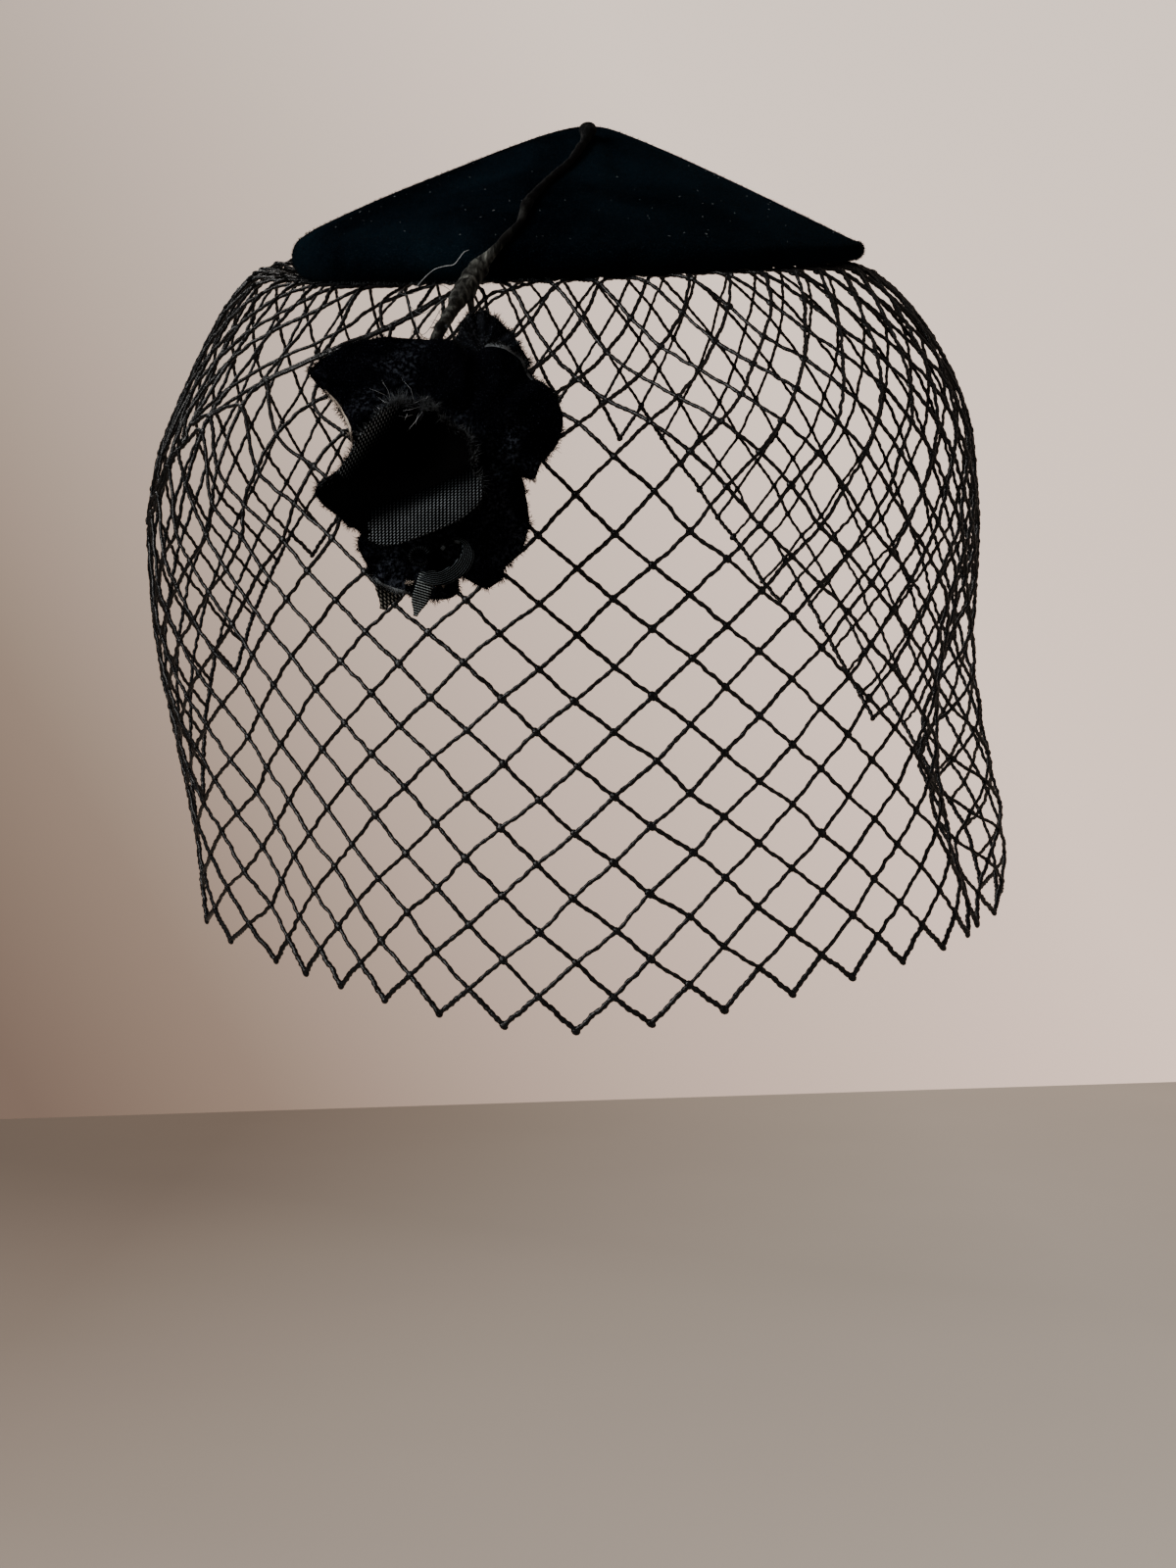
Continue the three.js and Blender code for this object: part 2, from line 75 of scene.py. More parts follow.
def frame_along(paths, reference):
    """Directions along some paths, beside them and above them, at each of their points."""
    along = unit(np.gradient(paths, axis=-2))
    side = unit(np.cross(along, np.broadcast_to(reference, paths.shape)))
    return along, side, np.cross(side, along)


def catmull_weights(t):
    """Weights of four neighbours for a place between the middle two."""
    return (
        -0.5 * t + t**2 - 0.5 * t**3,
        1 - 2.5 * t**2 + 1.5 * t**3,
        0.5 * t + 2 * t**2 - 1.5 * t**3,
        -0.5 * t**2 + 0.5 * t**3,
    )


def around(values, turns):
    """Values at even turns, joined smoothly round the circle; each turn may have values of its own."""
    count = len(values)
    place = (turns / TURN * count) % count
    first = np.floor(place).astype(int)
    table = np.broadcast_to(np.reshape(values, (count, -1)), (count, len(turns)))
    parts = zip((-1, 0, 1, 2), catmull_weights(place - first))
    return sum(w * table[(first + k) % count, np.arange(len(turns))] for k, w in parts)


def open_curve(points, count):
    """A smooth curve through the points, at `count` even steps of its length."""
    points = np.asarray(points, float)
    ends = np.vstack([2 * points[0] - points[1], points, 2 * points[-1] - points[-2]])
    place = np.linspace(0, len(points) - 1, 12 * count)
    first = np.minimum(np.floor(place).astype(int), len(points) - 2)
    parts = zip(range(4), catmull_weights((place - first)[:, None]))
    fine = sum(w * ends[first + k] for k, w in parts)
    length = run_along(fine)
    even = np.linspace(0, length[-1], count)
    return np.stack([np.interp(even, length, fine[:, k]) for k in range(fine.shape[1])], 1)


def in_scene(name, data):
    obj = bpy.data.objects.new(name, data)
    bpy.context.scene.collection.objects.link(obj)
    return obj


def add_mesh(name, points, faces, materials, node=None, looks=None, uvs=None):
    """A smooth piece from points in millimetres; looks picks a material for each face."""
    mesh = bpy.data.meshes.new(name)
    mesh.from_pydata((np.asarray(points) * MM).tolist(), [], faces)
    for material in materials:
        mesh.materials.append(material)
    if looks is not None:
        mesh.polygons.foreach_set("material_index", np.asarray(looks, np.int32))
    mesh.polygons.foreach_set("use_smooth", np.ones(len(mesh.polygons), bool))
    if uvs is not None:
        corner = np.empty(len(mesh.loops), np.int32)
        mesh.loops.foreach_get("vertex_index", corner)
        layer = mesh.uv_layers.new(name="cloth")
        layer.data.foreach_set("uv", np.asarray(uvs, np.float32)[corner].ravel())
    mesh.update()
    piece = in_scene(name, mesh)
    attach(piece, "root")
    if node:
        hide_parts(node)
    return piece


def ring_faces(rings):
    """Quads between rings of points, each ring joined to the next."""
    count, sides = rings.shape[:2]
    faces = []
    for low in range(0, (count - 1) * sides, sides):
        for j in range(sides):
            k = (j + 1) % sides
            faces.append((low + j, low + k, low + sides + k, low + sides + j))
    return faces


def tube_body(rings):
    """Points and faces of a tube with a flat face at each end."""
    sides = rings.shape[1]
    points = rings.reshape(-1, 3)
    ends = [tuple(range(sides))[::-1], tuple(range(len(points) - sides, len(points)))]
    return points, ring_faces(rings) + ends


def shell_body(rings, first, last):
    """Points and faces of a closed body whose rings run from one middle point to another."""
    sides = rings.shape[1]
    points = np.vstack([rings.reshape(-1, 3), first, last])
    faces = ring_faces(rings)
    start, end = len(points) - 2, len(points) - 1
    for k in range(sides):
        n = (k + 1) % sides
        faces += [(start, n, k), (end, start - sides + k, start - sides + n)]
    return points, faces


class Pieces:
    """Collects many small closed shapes into one mesh."""

    def __init__(self):
        self.points = []
        self.faces = []
        self.looks = []
        self.count = 0

    def add(self, points, faces, look=0):
        self.points.append(points)
        self.faces += [tuple(self.count + c for c in face) for face in faces]
        self.looks += [look] * len(faces)
        self.count += len(points)

    def add_tubes(self, paths, radius, sides, reference, pitch=None, flatten=0.0, ridges=1.0, look=0):
        """Closed tubes along (N, steps, 3) paths; pitch and flatten give the twist of two plies."""
        side, up = frame_along(paths, reference)[1:]
        angle = np.arange(sides) * TURN / sides
        thick = np.broadcast_to(radius, paths.shape[:2])[..., None] * ridges * np.ones(sides)
        if pitch:
            run = np.stack([run_along(path) for path in paths])
            start = rng.uniform(0, TURN, (len(paths), 1))
            ply = (run * TURN / pitch + start)[..., None]
            thick = thick * (1 + flatten * np.cos(2 * (angle - ply)))
        way = side[:, :, None] * np.cos(angle)[:, None] + up[:, :, None] * np.sin(angle)[:, None]
        for rings in paths[:, :, None] + thick[..., None] * way:
            self.add(*tube_body(rings), look)

    def add_hairs(self, roots, directions, lengths, width, bend=0.3, look=0):
        """Tapered three-sided hairs that bend a little on their way."""
        directions = unit(directions)
        lengths = lengths[:, None]
        number = len(directions)
        across = unit(np.cross(directions, rng.normal(size=(number, 3))))
        third = np.cross(directions, across)
        sway = across * rng.uniform(-bend, bend, (number, 1)) * lengths
        points = []
        for share, thick in ((0.0, 1.0), (0.55, 0.7)):
            middle = roots + directions * lengths * share + sway * share**2
            for k in range(3):
                a = k * TURN / 3
                points.append(middle + (across * math.cos(a) + third * math.sin(a)) * width * thick / 2)
        points.append(roots + directions * lengths + sway)
        hair = [(2, 1, 0), (0, 1, 4, 3), (1, 2, 5, 4), (2, 0, 3, 5), (3, 4, 6), (4, 5, 6), (5, 3, 6)]
        faces = [tuple(7 * n + c for c in face) for n in range(number) for face in hair]
        self.add(np.stack(points, 1).reshape(-1, 3), faces, look)

    def build(self, name, materials, node=None):
        points = np.concatenate(self.points)
        return add_mesh(name, points, self.faces, materials, node, self.looks)


# ---- materials ----
class Nodes:
    """A node tree with short ways to add to it."""

    def __init__(self, tree, coordinates):
        self.nodes = tree.nodes
        self.links = tree.links
        self.place = self.nodes.new("ShaderNodeTexCoord").outputs[coordinates]

    def fill(self, node, sockets):
        """Sets or links a node's sockets, by name or number."""
        for key, value in sockets.items():
            if isinstance(value, bpy.types.NodeSocket):
                self.links.new(value, node.inputs[key])
            else:
                node.inputs[key].default_value = value

    def add(self, kind, sockets, operation=None):
        node = self.nodes.new("ShaderNode" + kind)
        if operation:
            node.operation = operation
        self.fill(node, sockets)
        return node

    def noise(self, scale, detail=3.0, distortion=0.0, place=None):
        sockets = {"Vector": place or self.place, "Scale": scale, "Detail": detail, "Distortion": distortion}
        return self.add("TexNoise", sockets).outputs["Fac"]

    def ramp(self, value, stops):
        node = self.add("ValToRGB", {"Fac": value})
        elements = node.color_ramp.elements
        while len(elements) < len(stops):
            elements.new(0.5)
        for element, (position, shade) in zip(elements, stops):
            element.position = position
            element.color = (*shade, 1) if isinstance(shade, tuple) else (shade, shade, shade, 1)
        return node.outputs["Color"]

    def maths(self, kind, a, b=0.0, c=0.0):
        return self.add("Math", {0: a, 1: b, 2: c}, kind).outputs[0]

    def vector(self, kind, a, b):
        return self.add("VectorMath", {0: a, 1: b}, kind).outputs

    def split(self, vector):
        return self.add("SeparateXYZ", {0: vector}).outputs

    def mix(self, factor, a, b, blend="MIX"):
        node = self.nodes.new("ShaderNodeMix")
        node.data_type = "RGBA"
        node.blend_type = blend
        self.fill(node, {0: factor, 6: a, 7: b})
        return node.outputs[2]


class Shader(Nodes):
    """A Principled material."""

    def __init__(self, name, roughness, specular=0.5):
        self.material = bpy.data.materials.new(name)
        self.material.use_nodes = True
        super().__init__(self.material.node_tree, "Object")
        self.bsdf = self.nodes["Principled BSDF"]
        self.fill(self.bsdf, {"Roughness": roughness, "Specular IOR Level": specular})

    def sheen(self, weight, roughness, tint):
        self.fill(self.bsdf, {"Sheen Weight": weight, "Sheen Roughness": roughness, "Sheen Tint": (*tint, 1)})

    def color(self, output):
        self.fill(self.bsdf, {"Base Color": output})

    def roughness(self, value, low, high):
        self.fill(self.bsdf, {"Roughness": self.ramp(value, [(0.3, low), (0.7, high)])})

    def relief(self, *layers):
        """Each layer is (height output, depth in millimetres), one on top of the other."""
        below = {}
        for height, depth in layers:
            node = self.add("Bump", {"Distance": depth * MM, "Strength": 1.0, "Height": height, **below})
            below = {"Normal": node.outputs["Normal"]}
        self.fill(self.bsdf, below)


def velvet(name, dark, light, sheen_weight, fleck, wear_and_painted_sheen=None, crush_scale=70, tint=(0.62, 0.63, 0.68)):
    """Short dense pile: crushed patches turn it, a few fibres stand out, grey specks are painted sheen."""
    s = Shader(name, roughness=0.95, specular=0.0)
    s.sheen(sheen_weight, 0.42, tint)
    crush = s.noise(crush_scale, detail=4, distortion=0.6)
    pile = s.noise(2600, detail=2)
    fibres = s.noise(5200, detail=1)
    ground = s.ramp(crush, [(0.35, dark), (0.75, light)])
    flecks = s.ramp(fibres, [(0.63, 0.0), (0.76, fleck)])
    shade = s.mix(1.0, ground, flecks, "ADD")
    # Painted sheen: grey specks in patches stand for the crinkled pile catching the light.
    if wear_and_painted_sheen:
        sheen_specks = s.ramp(s.noise(1500, detail=3), [(0.48, 0.0), (0.7, wear_and_painted_sheen)])
        places = s.ramp(s.noise(78, detail=5, distortion=1.2), [(0.5, 0.0), (0.62, 1.0)])
        shade = s.mix(1.0, shade, s.mix(1.0, sheen_specks, places, "MULTIPLY"), "ADD")
    s.color(shade)
    s.relief((pile, 0.22), (crush, 0.5))
    return s.material


def net_thread():
    """Glossy two-ply thread, a little dusty where it is rubbed."""
    s = Shader("net_thread", roughness=0.3, specular=0.12)
    fibre = s.noise(2400, detail=3)
    wear = s.noise(160, detail=2)
    s.color(s.ramp(wear, [(0.3, (0.0006, 0.0008, 0.001)), (0.8, (0.003, 0.0036, 0.0044))]))
    s.roughness(fibre, 0.18, 0.42)
    s.relief((fibre, 0.12))
    return s.material


# How pale the tape is from the apex down; 0.5 is the rim plane, and 0.12 more is 10 mm lower.
WIRE_PALENESS = (
    (0.16, 1.0), (0.2, 0.015), (0.32, 0.015), (0.36, 0.09), (0.42, 0.03), (0.46, 0.03), (0.52, 0.45),
    (0.56, 0.06), (0.61, 0.3), (0.67, 1.0),
)
WIRE_DARK = ((0.35, (0.0003, 0.0004, 0.0006)), (0.75, (0.0014, 0.0017, 0.0021)))
WIRE_WORN = ((0.35, (0.006, 0.006, 0.005)), (0.6, (0.036, 0.038, 0.035)), (0.75, (0.09, 0.094, 0.086)))


def wire_tape():
    """Dark paper tape wound round the wire, rubbed grey-brown along its ridges."""
    s = Shader("wire_tape", roughness=0.8, specular=0.03)
    along = s.vector("MULTIPLY", s.place, (1.0, 0.3, 0.22))["Vector"]
    streak = s.noise(900, detail=4, distortion=0.6, place=along)
    fibre = s.noise(900, detail=5, distortion=1.5)
    rub = s.noise(140, detail=4, distortion=0.4)
    fall = s.maths("MULTIPLY_ADD", s.split(s.place)["Z"], -12.0, 0.5)
    bright = s.ramp(streak, [(0.4, 0.12), (0.62, 1.0), (0.72, 2.2)])
    wear_and_painted_sheen = s.mix(1.0, s.ramp(rub, WIRE_WORN), bright, "MULTIPLY")
    s.color(s.mix(s.ramp(fall, WIRE_PALENESS), s.ramp(fibre, WIRE_DARK), wear_and_painted_sheen))
    s.relief((streak, 0.4), (fibre, 0.2), (rub, 0.4))
    return s.material


def woven_cloth(name, dark, light, warp, weft, ribs, line=((0, 0), (1, 0)), shadow_fade=None):
    """Threads upright on the flat place and ribs along the line, pitches in millimetres.

    With a fade, in millimetres, the cloth darkens towards the line: a painted shadow.
    """
    s = Shader(name, roughness=0.8, specular=0.0)
    cloth = s.add("UVMap", {})
    cloth.uv_map = "cloth"
    uv = cloth.outputs["UV"]
    start, end = (np.array(p, float) for p in line)
    way = unit(end - start)
    across = np.array([-way[1], way[0]])
    place = s.vector("DOT_PRODUCT", uv, (*(way * 0.93 - across * 0.37), 0))["Value"]
    warp_wave = s.maths("SINE", s.maths("MULTIPLY", place, TURN / warp))
    off = s.maths("SUBTRACT", s.vector("DOT_PRODUCT", uv, (*across, 0))["Value"], float(start @ across))
    stagger = s.maths("MULTIPLY", place, TURN / warp * (ribs - 1))
    weft_wave = s.maths("SINE", s.maths("MULTIPLY_ADD", off, TURN / weft, stagger))
    height = s.maths("MULTIPLY_ADD", warp_wave, 1 - ribs, s.maths("MULTIPLY", weft_wave, ribs))
    patches = s.ramp(s.noise(220, detail=3), [(0.3, 0.45), (0.7, 1.0)])
    shade = s.mix(1.0, s.ramp(height, [(0.15, dark), (0.85, light)]), patches, "MULTIPLY")
    # Painted shadow: the cloth darkens towards the line.
    if shadow_fade:
        depth = s.ramp(s.maths("MULTIPLY", off, -1 / shadow_fade), [(0.0, 0.0), (0.4, 0.1), (0.95, 1.0)])
        shade = s.mix(1.0, shade, depth, "MULTIPLY")
    s.color(shade)
    s.relief((height, 0.1))
    return s.material


def fibre_material(name, dark, light, roughness=0.6):
    s = Shader(name, roughness=roughness, specular=0.3 * (1 - roughness))
    s.color(s.ramp(s.noise(300, detail=2), [(0.3, dark), (0.7, light)]))
    return s.material


HAT_VELVET = velvet(
    "hat_velvet", (0.0, 0.0002, 0.0006), (0.0011, 0.0034, 0.0052), 0.005, (0.01, 0.014, 0.018),
    crush_scale=34, tint=(0.4, 0.75, 1.0)
)
FLOWER_VELVET = velvet(
    "flower_velvet", (0.0003, 0.0003, 0.0006), (0.001, 0.0011, 0.0017), 0.008, (0.013, 0.015, 0.02),
    wear_and_painted_sheen=(0.014, 0.0165, 0.0215)
)
# A lighter copy of the flower velvet for the crinkled top petal: its extra grey is painted sheen.
CREASED_VELVET_PAINTED_SHEEN = velvet(
    "creased_velvet_painted_sheen", (0.0006, 0.0007, 0.001), (0.0024, 0.0027, 0.0035), 0.018, (0.04, 0.046, 0.056),
    wear_and_painted_sheen=(0.036, 0.041, 0.05)
)
# Near-black velvet for the cup's outside, and for its inside as painted shadow.
CUP_VELVET_AND_SHADE = velvet("cup_velvet_and_shade", 0.0004, 0.0008, 0.006, 0.002)
NET_THREAD = net_thread()
WIRE_TAPE = wire_tape()
# The cup's woven inside is drawn only below the line BAND, right of BAND_LEFT, and left of the line WALL; the
# rest of the inside is near-black velvet, painted shadow. Points are (right, up) from the flower's middle.
BAND = ((-12.8, -12.9), (7.6, -4.8))
BAND_LEFT = -12.3
WALL = ((-4.6, 6.2), (-16.6, -8.8))
# Both weaves darken towards their line: painted shadow inside the cup.
CUP_WEAVE = woven_cloth("cup_weave", 0.0, (0.155, 0.178, 0.196), 0.68, 0.5, 0.5, line=BAND, shadow_fade=4.2)
WALL_WEAVE = woven_cloth("wall_weave", 0.0, (0.17, 0.19, 0.2), 0.68, 0.5, 0.5, line=WALL, shadow_fade=3.4)
# The loop's weave is a darker copy of the tail's: painted shade.
LOOP_WEAVE_SHADED = woven_cloth("loop_weave_shaded", 0.001, (0.045, 0.054, 0.06), 0.5, 0.42, 0.85, line=((0, 0), (0, 1)))
CURL_WEAVE = woven_cloth("curl_weave", 0.001, (0.012, 0.014, 0.016), 0.5, 0.42, 0.85)
TAIL_WEAVE = woven_cloth("tail_weave", 0.001, (0.16, 0.185, 0.19), 0.5, 0.5, 0.85)
TAB_WEAVE = woven_cloth("tab_weave", 0.003, (0.17, 0.165, 0.145), 0.7, 0.7, 0.5)
DARK_PILE = fibre_material("dark_pile", 0.0008, 0.003, 0.9)
GREY_FRAY = fibre_material("grey_fray", (0.012, 0.0135, 0.015), (0.062, 0.07, 0.076))
PALE_LINT = fibre_material("pale_lint", (0.07, 0.075, 0.08), (0.38, 0.4, 0.42))
RAW_EDGE = fibre_material("raw_edge", (0.06, 0.05, 0.043), (0.3, 0.26, 0.22), 0.85)

# ---- hat: the same named sizes as the part's source; phi turns from +X ----
HAT_RADIUS = 69.0
HAT_HEIGHT = 30.6
HAT_TILT = 14 * DEG
HAT_WALL = 2.0
HAT_APEX_SHIFT = 3.5
HAT_APEX_ROUND = 0.09
HAT_BELLY = 1.5
LIP_THIN = 2.0
LIP_TURNED = 3.6
LIP_THIN_SIDE = 10 * DEG
LIP_TOP_ANGLE = 66.0
LIP_END_ANGLE = -112.0
LIP_CORE = 0.35


def tilted(p):
    x, y, z = p[..., 0], p[..., 1], p[..., 2]
    c, s = math.cos(HAT_TILT), math.sin(HAT_TILT)
    return np.stack([x, y * c - z * s, y * s + z * c], -1)


def turned_share(phi):
    return ((1 - np.cos(phi - LIP_THIN_SIDE)) / 2) ** 1.3


def lip_radius(phi):
    return LIP_THIN + LIP_TURNED * turned_share(phi)


def lip_height(phi):
    return 0.9 * LIP_THIN - 0.46 * LIP_TURNED * turned_share(phi)


def lip_point(phi, angle, radius):
    out = HAT_RADIUS - lip_radius(phi) + radius * np.cos(angle * DEG)
    z = lip_height(phi) + radius * np.sin(angle * DEG)
    return np.stack([out * np.cos(phi), out * np.sin(phi), z + 0 * phi], -1)


def cone_point(phi, q, depth):
    """A point of the cone; q runs from the apex to the lip."""
    edge = lip_point(phi, LIP_TOP_ANGLE, np.maximum(lip_radius(phi) - depth, LIP_CORE))
    fall = np.hypot(q, HAT_APEX_ROUND) - HAT_APEX_ROUND
    fall = fall / (math.hypot(1, HAT_APEX_ROUND) - HAT_APEX_ROUND)
    belly = 4 * q * (1 - q) * HAT_BELLY * turned_share(phi)
    top = HAT_HEIGHT - depth * 1.08
    x = HAT_APEX_SHIFT * (1 - q) + edge[..., 0] * q
    return np.stack([x, edge[..., 1] * q, top * (1 - fall) + edge[..., 2] * fall + belly], -1)


def hat_swell(phi, q):
    """Slow unevenness of the hand-blocked crown, a valley beside the stem and a dent at the apex."""
    slow = 0.22 * np.sin(3 * phi + 1) * np.sin(5 * q) + 0.16 * np.sin(7 * phi - 2 + 6 * q)
    valley = -0.9 * bump(phi, -74 * DEG, 0.1) * bump(q, 0.45, 0.35)
    dent = -0.5 * bump(phi, -150 * DEG, 0.6) * bump(q, 0.1, 0.07)
    return slow * smooth_step(q, 0.02, 0.3) + valley + dent


def make_crown():
    phi = np.linspace(-math.pi, math.pi, 288, endpoint=False)
    rings = []
    for q in np.r_[0.015, 0.03, 0.05, 0.075, np.linspace(0.1, 0.97, 30)]:
        ring = cone_point(phi, q, 0)
        ring[:, 2] += hat_swell(phi, q)
        rings.append(ring)
    outer = lip_radius(phi)
    inner = np.maximum(outer - HAT_WALL, LIP_CORE)
    rings += [lip_point(phi, a, outer) for a in np.linspace(LIP_TOP_ANGLE, LIP_END_ANGLE, 18)]
    rings += [lip_point(phi, a, inner) for a in np.linspace(LIP_END_ANGLE, LIP_TOP_ANGLE, 14)]
    rings += [cone_point(phi, q, HAT_WALL) for q in np.linspace(0.95, 0.06, 14)]
    apex = [cone_point(np.array([0.0]), 0.0, depth)[0] for depth in (0, HAT_WALL)]
    points, faces = shell_body(np.array(rings[::-1]), *apex[::-1])
    add_mesh("crown_velvet", tilted(points), faces, [HAT_VELVET], "crown")


# Hairs of the crown: how many, from what length to what, and how wide.
CONE_PILE = (9000, (0.35, 0.7), 0.12)
LIP_PILE = (7000, (0.35, 0.75), 0.12)
CONE_LINT = (200, (0.2, 0.7), 0.11)
LIP_FRAY = (900, (0.4, 1.5), 0.07)
ROOT_DEPTH = 0.12
PILE_LEAN = 0.35
# The lip is frayed underneath, between these turns from +X.
FRAYED_LIP = (-150, -95)


def cone_roots(count, inside, lift):
    """Random places on the cone within two shares of its area, with their turn from +X."""
    phi = rng.uniform(-math.pi, math.pi, count)
    q = np.sqrt(rng.uniform(*inside, count))
    root = cone_point(phi, q, 0)
    root[:, 2] += hat_swell(phi, q) + lift
    return phi, root


def make_crown_pile():
    """Pile that stands off the cone and the lip."""
    pile = Pieces()
    count, length, width = CONE_PILE
    phi, root = cone_roots(count, (0.0, 1.0), -ROOT_DEPTH)
    off = unit(np.stack([0.42 * np.cos(phi), 0.42 * np.sin(phi), np.ones(count)], -1))
    lean = off + rng.normal(0, PILE_LEAN, (count, 3))
    pile.add_hairs(tilted(root), tilted(lean), rng.uniform(*length, count), width)
    count, length, width = LIP_PILE
    phi = rng.uniform(-math.pi, math.pi, count)
    angle = rng.uniform(LIP_END_ANGLE, LIP_TOP_ANGLE + 10, count)
    root = lip_point(phi, angle, lip_radius(phi) - ROOT_DEPTH)
    out, rise = np.cos(angle * DEG), np.sin(angle * DEG)
    off = np.stack([np.cos(phi) * out, np.sin(phi) * out, rise], -1)
    lean = off + rng.normal(0, PILE_LEAN, (count, 3))
    pile.add_hairs(tilted(root), tilted(lean), rng.uniform(*length, count), width)
    pile.build("crown_pile", [DARK_PILE])


def make_crown_lint():
    """Pale lint caught in the cone's pile, and grey threads under the lip."""
    lint = Pieces()
    count, length, width = CONE_LINT
    phi, root = cone_roots(count, (0.15, 0.98), 0.15)
    flat = rng.normal(0, 1, (count, 3)) * [1, 1, 0.25]
    lint.add_hairs(tilted(root), tilted(flat), rng.uniform(*length, count), width, bend=0.6)
    count, length, width = LIP_FRAY
    phi = rng.uniform(*FRAYED_LIP, count) * DEG
    root = lip_point(phi, rng.uniform(-105, -60, count), lip_radius(phi))
    lean = rng.normal(0, 0.5, (count, 3)) + [0, 0, -1]
    lint.add_hairs(tilted(root), lean, rng.uniform(*length, count), width, look=1)
    lint.build("crown_lint", [PALE_LINT, GREY_FRAY])


# ---- veil ----
VEIL_INSET = 6.0
VEIL_BELOW_LIP = 1.6
RIM_TUCK = 1.3
# How far the net stands out from the rim and how far it drops below it, at even turns from the front by
# the viewer's right.
VEIL_SIDES = (
    ((0, 0), (8, 2), (17, 16), (31, 28), (45, 39), (50, 54), (50, 81), (50, 107), (49.5, 133), (49, 157)),
    ((0, 0), (9, 2), (17, 11), (27, 22), (36, 35), (40.3, 54), (42, 81), (43, 107), (45.5, 133), (46.8, 158)),
    ((0, 0), (9.4, 3.2), (16.6, 9.6), (23.8, 20.6), (29.3, 37), (31, 62), (30, 90), (33.2, 112), (38, 138),
     (33.5, 164)),
    ((0, 0), (9.4, 4.2), (16.6, 10.6), (24.2, 22.6), (29, 40), (30, 66), (30, 92), (32, 118), (34, 142),
     (34, 166)),
    ((0, 0), (8, 4), (16, 10), (23, 22), (27, 40), (28, 66), (28, 92), (28, 118), (28, 142), (28, 166)),
    ((0, 0), (6, -0.8), (11, -4.4), (17, -7.2), (23, -6.2), (29, 1.5), (33, 14), (35, 34),
     (36, 60), (35.5, 84), (33, 114), (32, 140), (32, 166)),
    ((0, 0), (6, -0.3), (10.5, -4.4), (15, -3.4), (20, 1.4), (24.6, 8.2), (28.4, 16.5), (32.6, 27.5),
     (38.4, 44), (39.8, 60), (38, 86), (32.7, 112), (28, 138), (27, 164)),
    ((0, 0), (9, 1.5), (18, 10), (29, 23), (38, 37), (40.5, 56), (38.2, 82), (34.2, 107), (30.8, 133),
     (28.2, 158)),
)
# Share of the full length at every 15 degrees from the front by the viewer's right.
HEM_SHARE = (
    1.0, 0.985, 0.965, 0.95, 0.94, 0.935, 0.93, 0.86, 0.76, 0.63, 0.5, 0.36,
    0.27, 0.3, 0.38, 0.5, 0.62, 0.71, 0.83, 0.93, 0.94, 0.95, 0.965, 0.985,
)
FULL_SHARE = 0.93
HEM_SLACK = 0.012
# Past its last point a side goes on straight down, by this many millimetres for a whole length.
BELOW_SIDES = 180
SIDE_STEPS = 121
SIDE_CURVES = [open_curve(side, SIDE_STEPS) for side in VEIL_SIDES]

NET_COLUMNS = 48
NET_ROWS = 24
# Share of the length at some half rows: the cells are longest where the net turns down.
ROW_DEPTH = ((0, 0.0), (2, 0.1), (6, 0.325), (9, 0.46), (24, 1.0))
# From so many degrees off the front the threads lean round, by so many at most, but not at the very back.
LEAN_LEFT = (45, 16)
LEAN_RIGHT = (62, 18)
LEAN_EASE = 70
# Unevenness of the knots: degrees round the head, and share of the length.
KNOT_NOISE = (0.16, 0.0016)
# The net is pushed in on the viewer's right, about this azimuth and share of the length.
GROOVE = {"azimuth": 62, "width": 10, "share": 0.74, "height": 0.17, "depth": 15}
# On the viewer's left a crease falls from the rim and draws the knots beside it in.
CREASE = {"from": -14, "to": -80, "slope": 0.0068, "reach": 0.11, "pull": 3.0}
# The net is drawn sideways under the rim: by how many degrees, round which azimuth, and its share by row.
DRAWN = (
    {"slant": -14, "azimuth": -40, "width": 20, "rows": (0, 2, 5, 9, 24), "share": (0, 0.15, 1, 0.15, 0)},
    {"slant": 3, "azimuth": 30, "width": 22, "rows": (0, 2, 9, 24), "share": (0, 1, 0.3, 0)},
)
THREAD_RADIUS = 0.44
THREAD_PITCH = 4.2
THREAD_STEPS = 17


def degrees_round(azimuth):
    return ((azimuth + math.pi) % TURN - math.pi) / DEG


def outward(azimuth):
    return np.stack([np.sin(azimuth), -np.cos(azimuth), 0 * azimuth], -1)


def veil_surface(azimuth, share):
    """The veil's smooth form, with the fold on the viewer's right pushed in."""
    phi = azimuth - math.pi / 2
    ring = HAT_RADIUS - VEIL_INSET
    z = lip_height(phi) - lip_radius(phi) - VEIL_BELOW_LIP
    z = z + RIM_TUCK * (1 - smooth_step(share, 0, 0.09))
    rim = tilted(np.stack([ring * np.cos(phi), ring * np.sin(phi), z], -1))
    steps = np.linspace(0, 1, SIDE_STEPS)
    out = around([np.interp(share, steps, side[:, 0]) for side in SIDE_CURVES], azimuth)
    drop = around([np.interp(share, steps, side[:, 1]) for side in SIDE_CURVES], azimuth)
    a = degrees_round(azimuth)
    fold = bump(a, GROOVE["azimuth"], GROOVE["width"]) * bump(share, GROOVE["share"], GROOVE["height"])
    out = out - GROOVE["depth"] * fold
    drop = drop + np.clip(share - 1, 0, 1) * BELOW_SIDES
    return rim + outward(azimuth) * out[..., None] - np.stack([0 * out, 0 * out, drop], -1)


def to_crease(azimuth, share):
    """Draws knots near the crease in towards it."""
    a = degrees_round(azimuth)
    crease = CREASE["slope"] * np.clip(CREASE["from"] - a, 0, 90)
    off = (share - crease) / CREASE["reach"]
    drawn = crease + CREASE["reach"] * np.sign(off) * np.abs(off) ** CREASE["pull"]
    return np.where((np.abs(off) < 1) & (a < CREASE["from"]) & (a > CREASE["to"]), drawn, share)


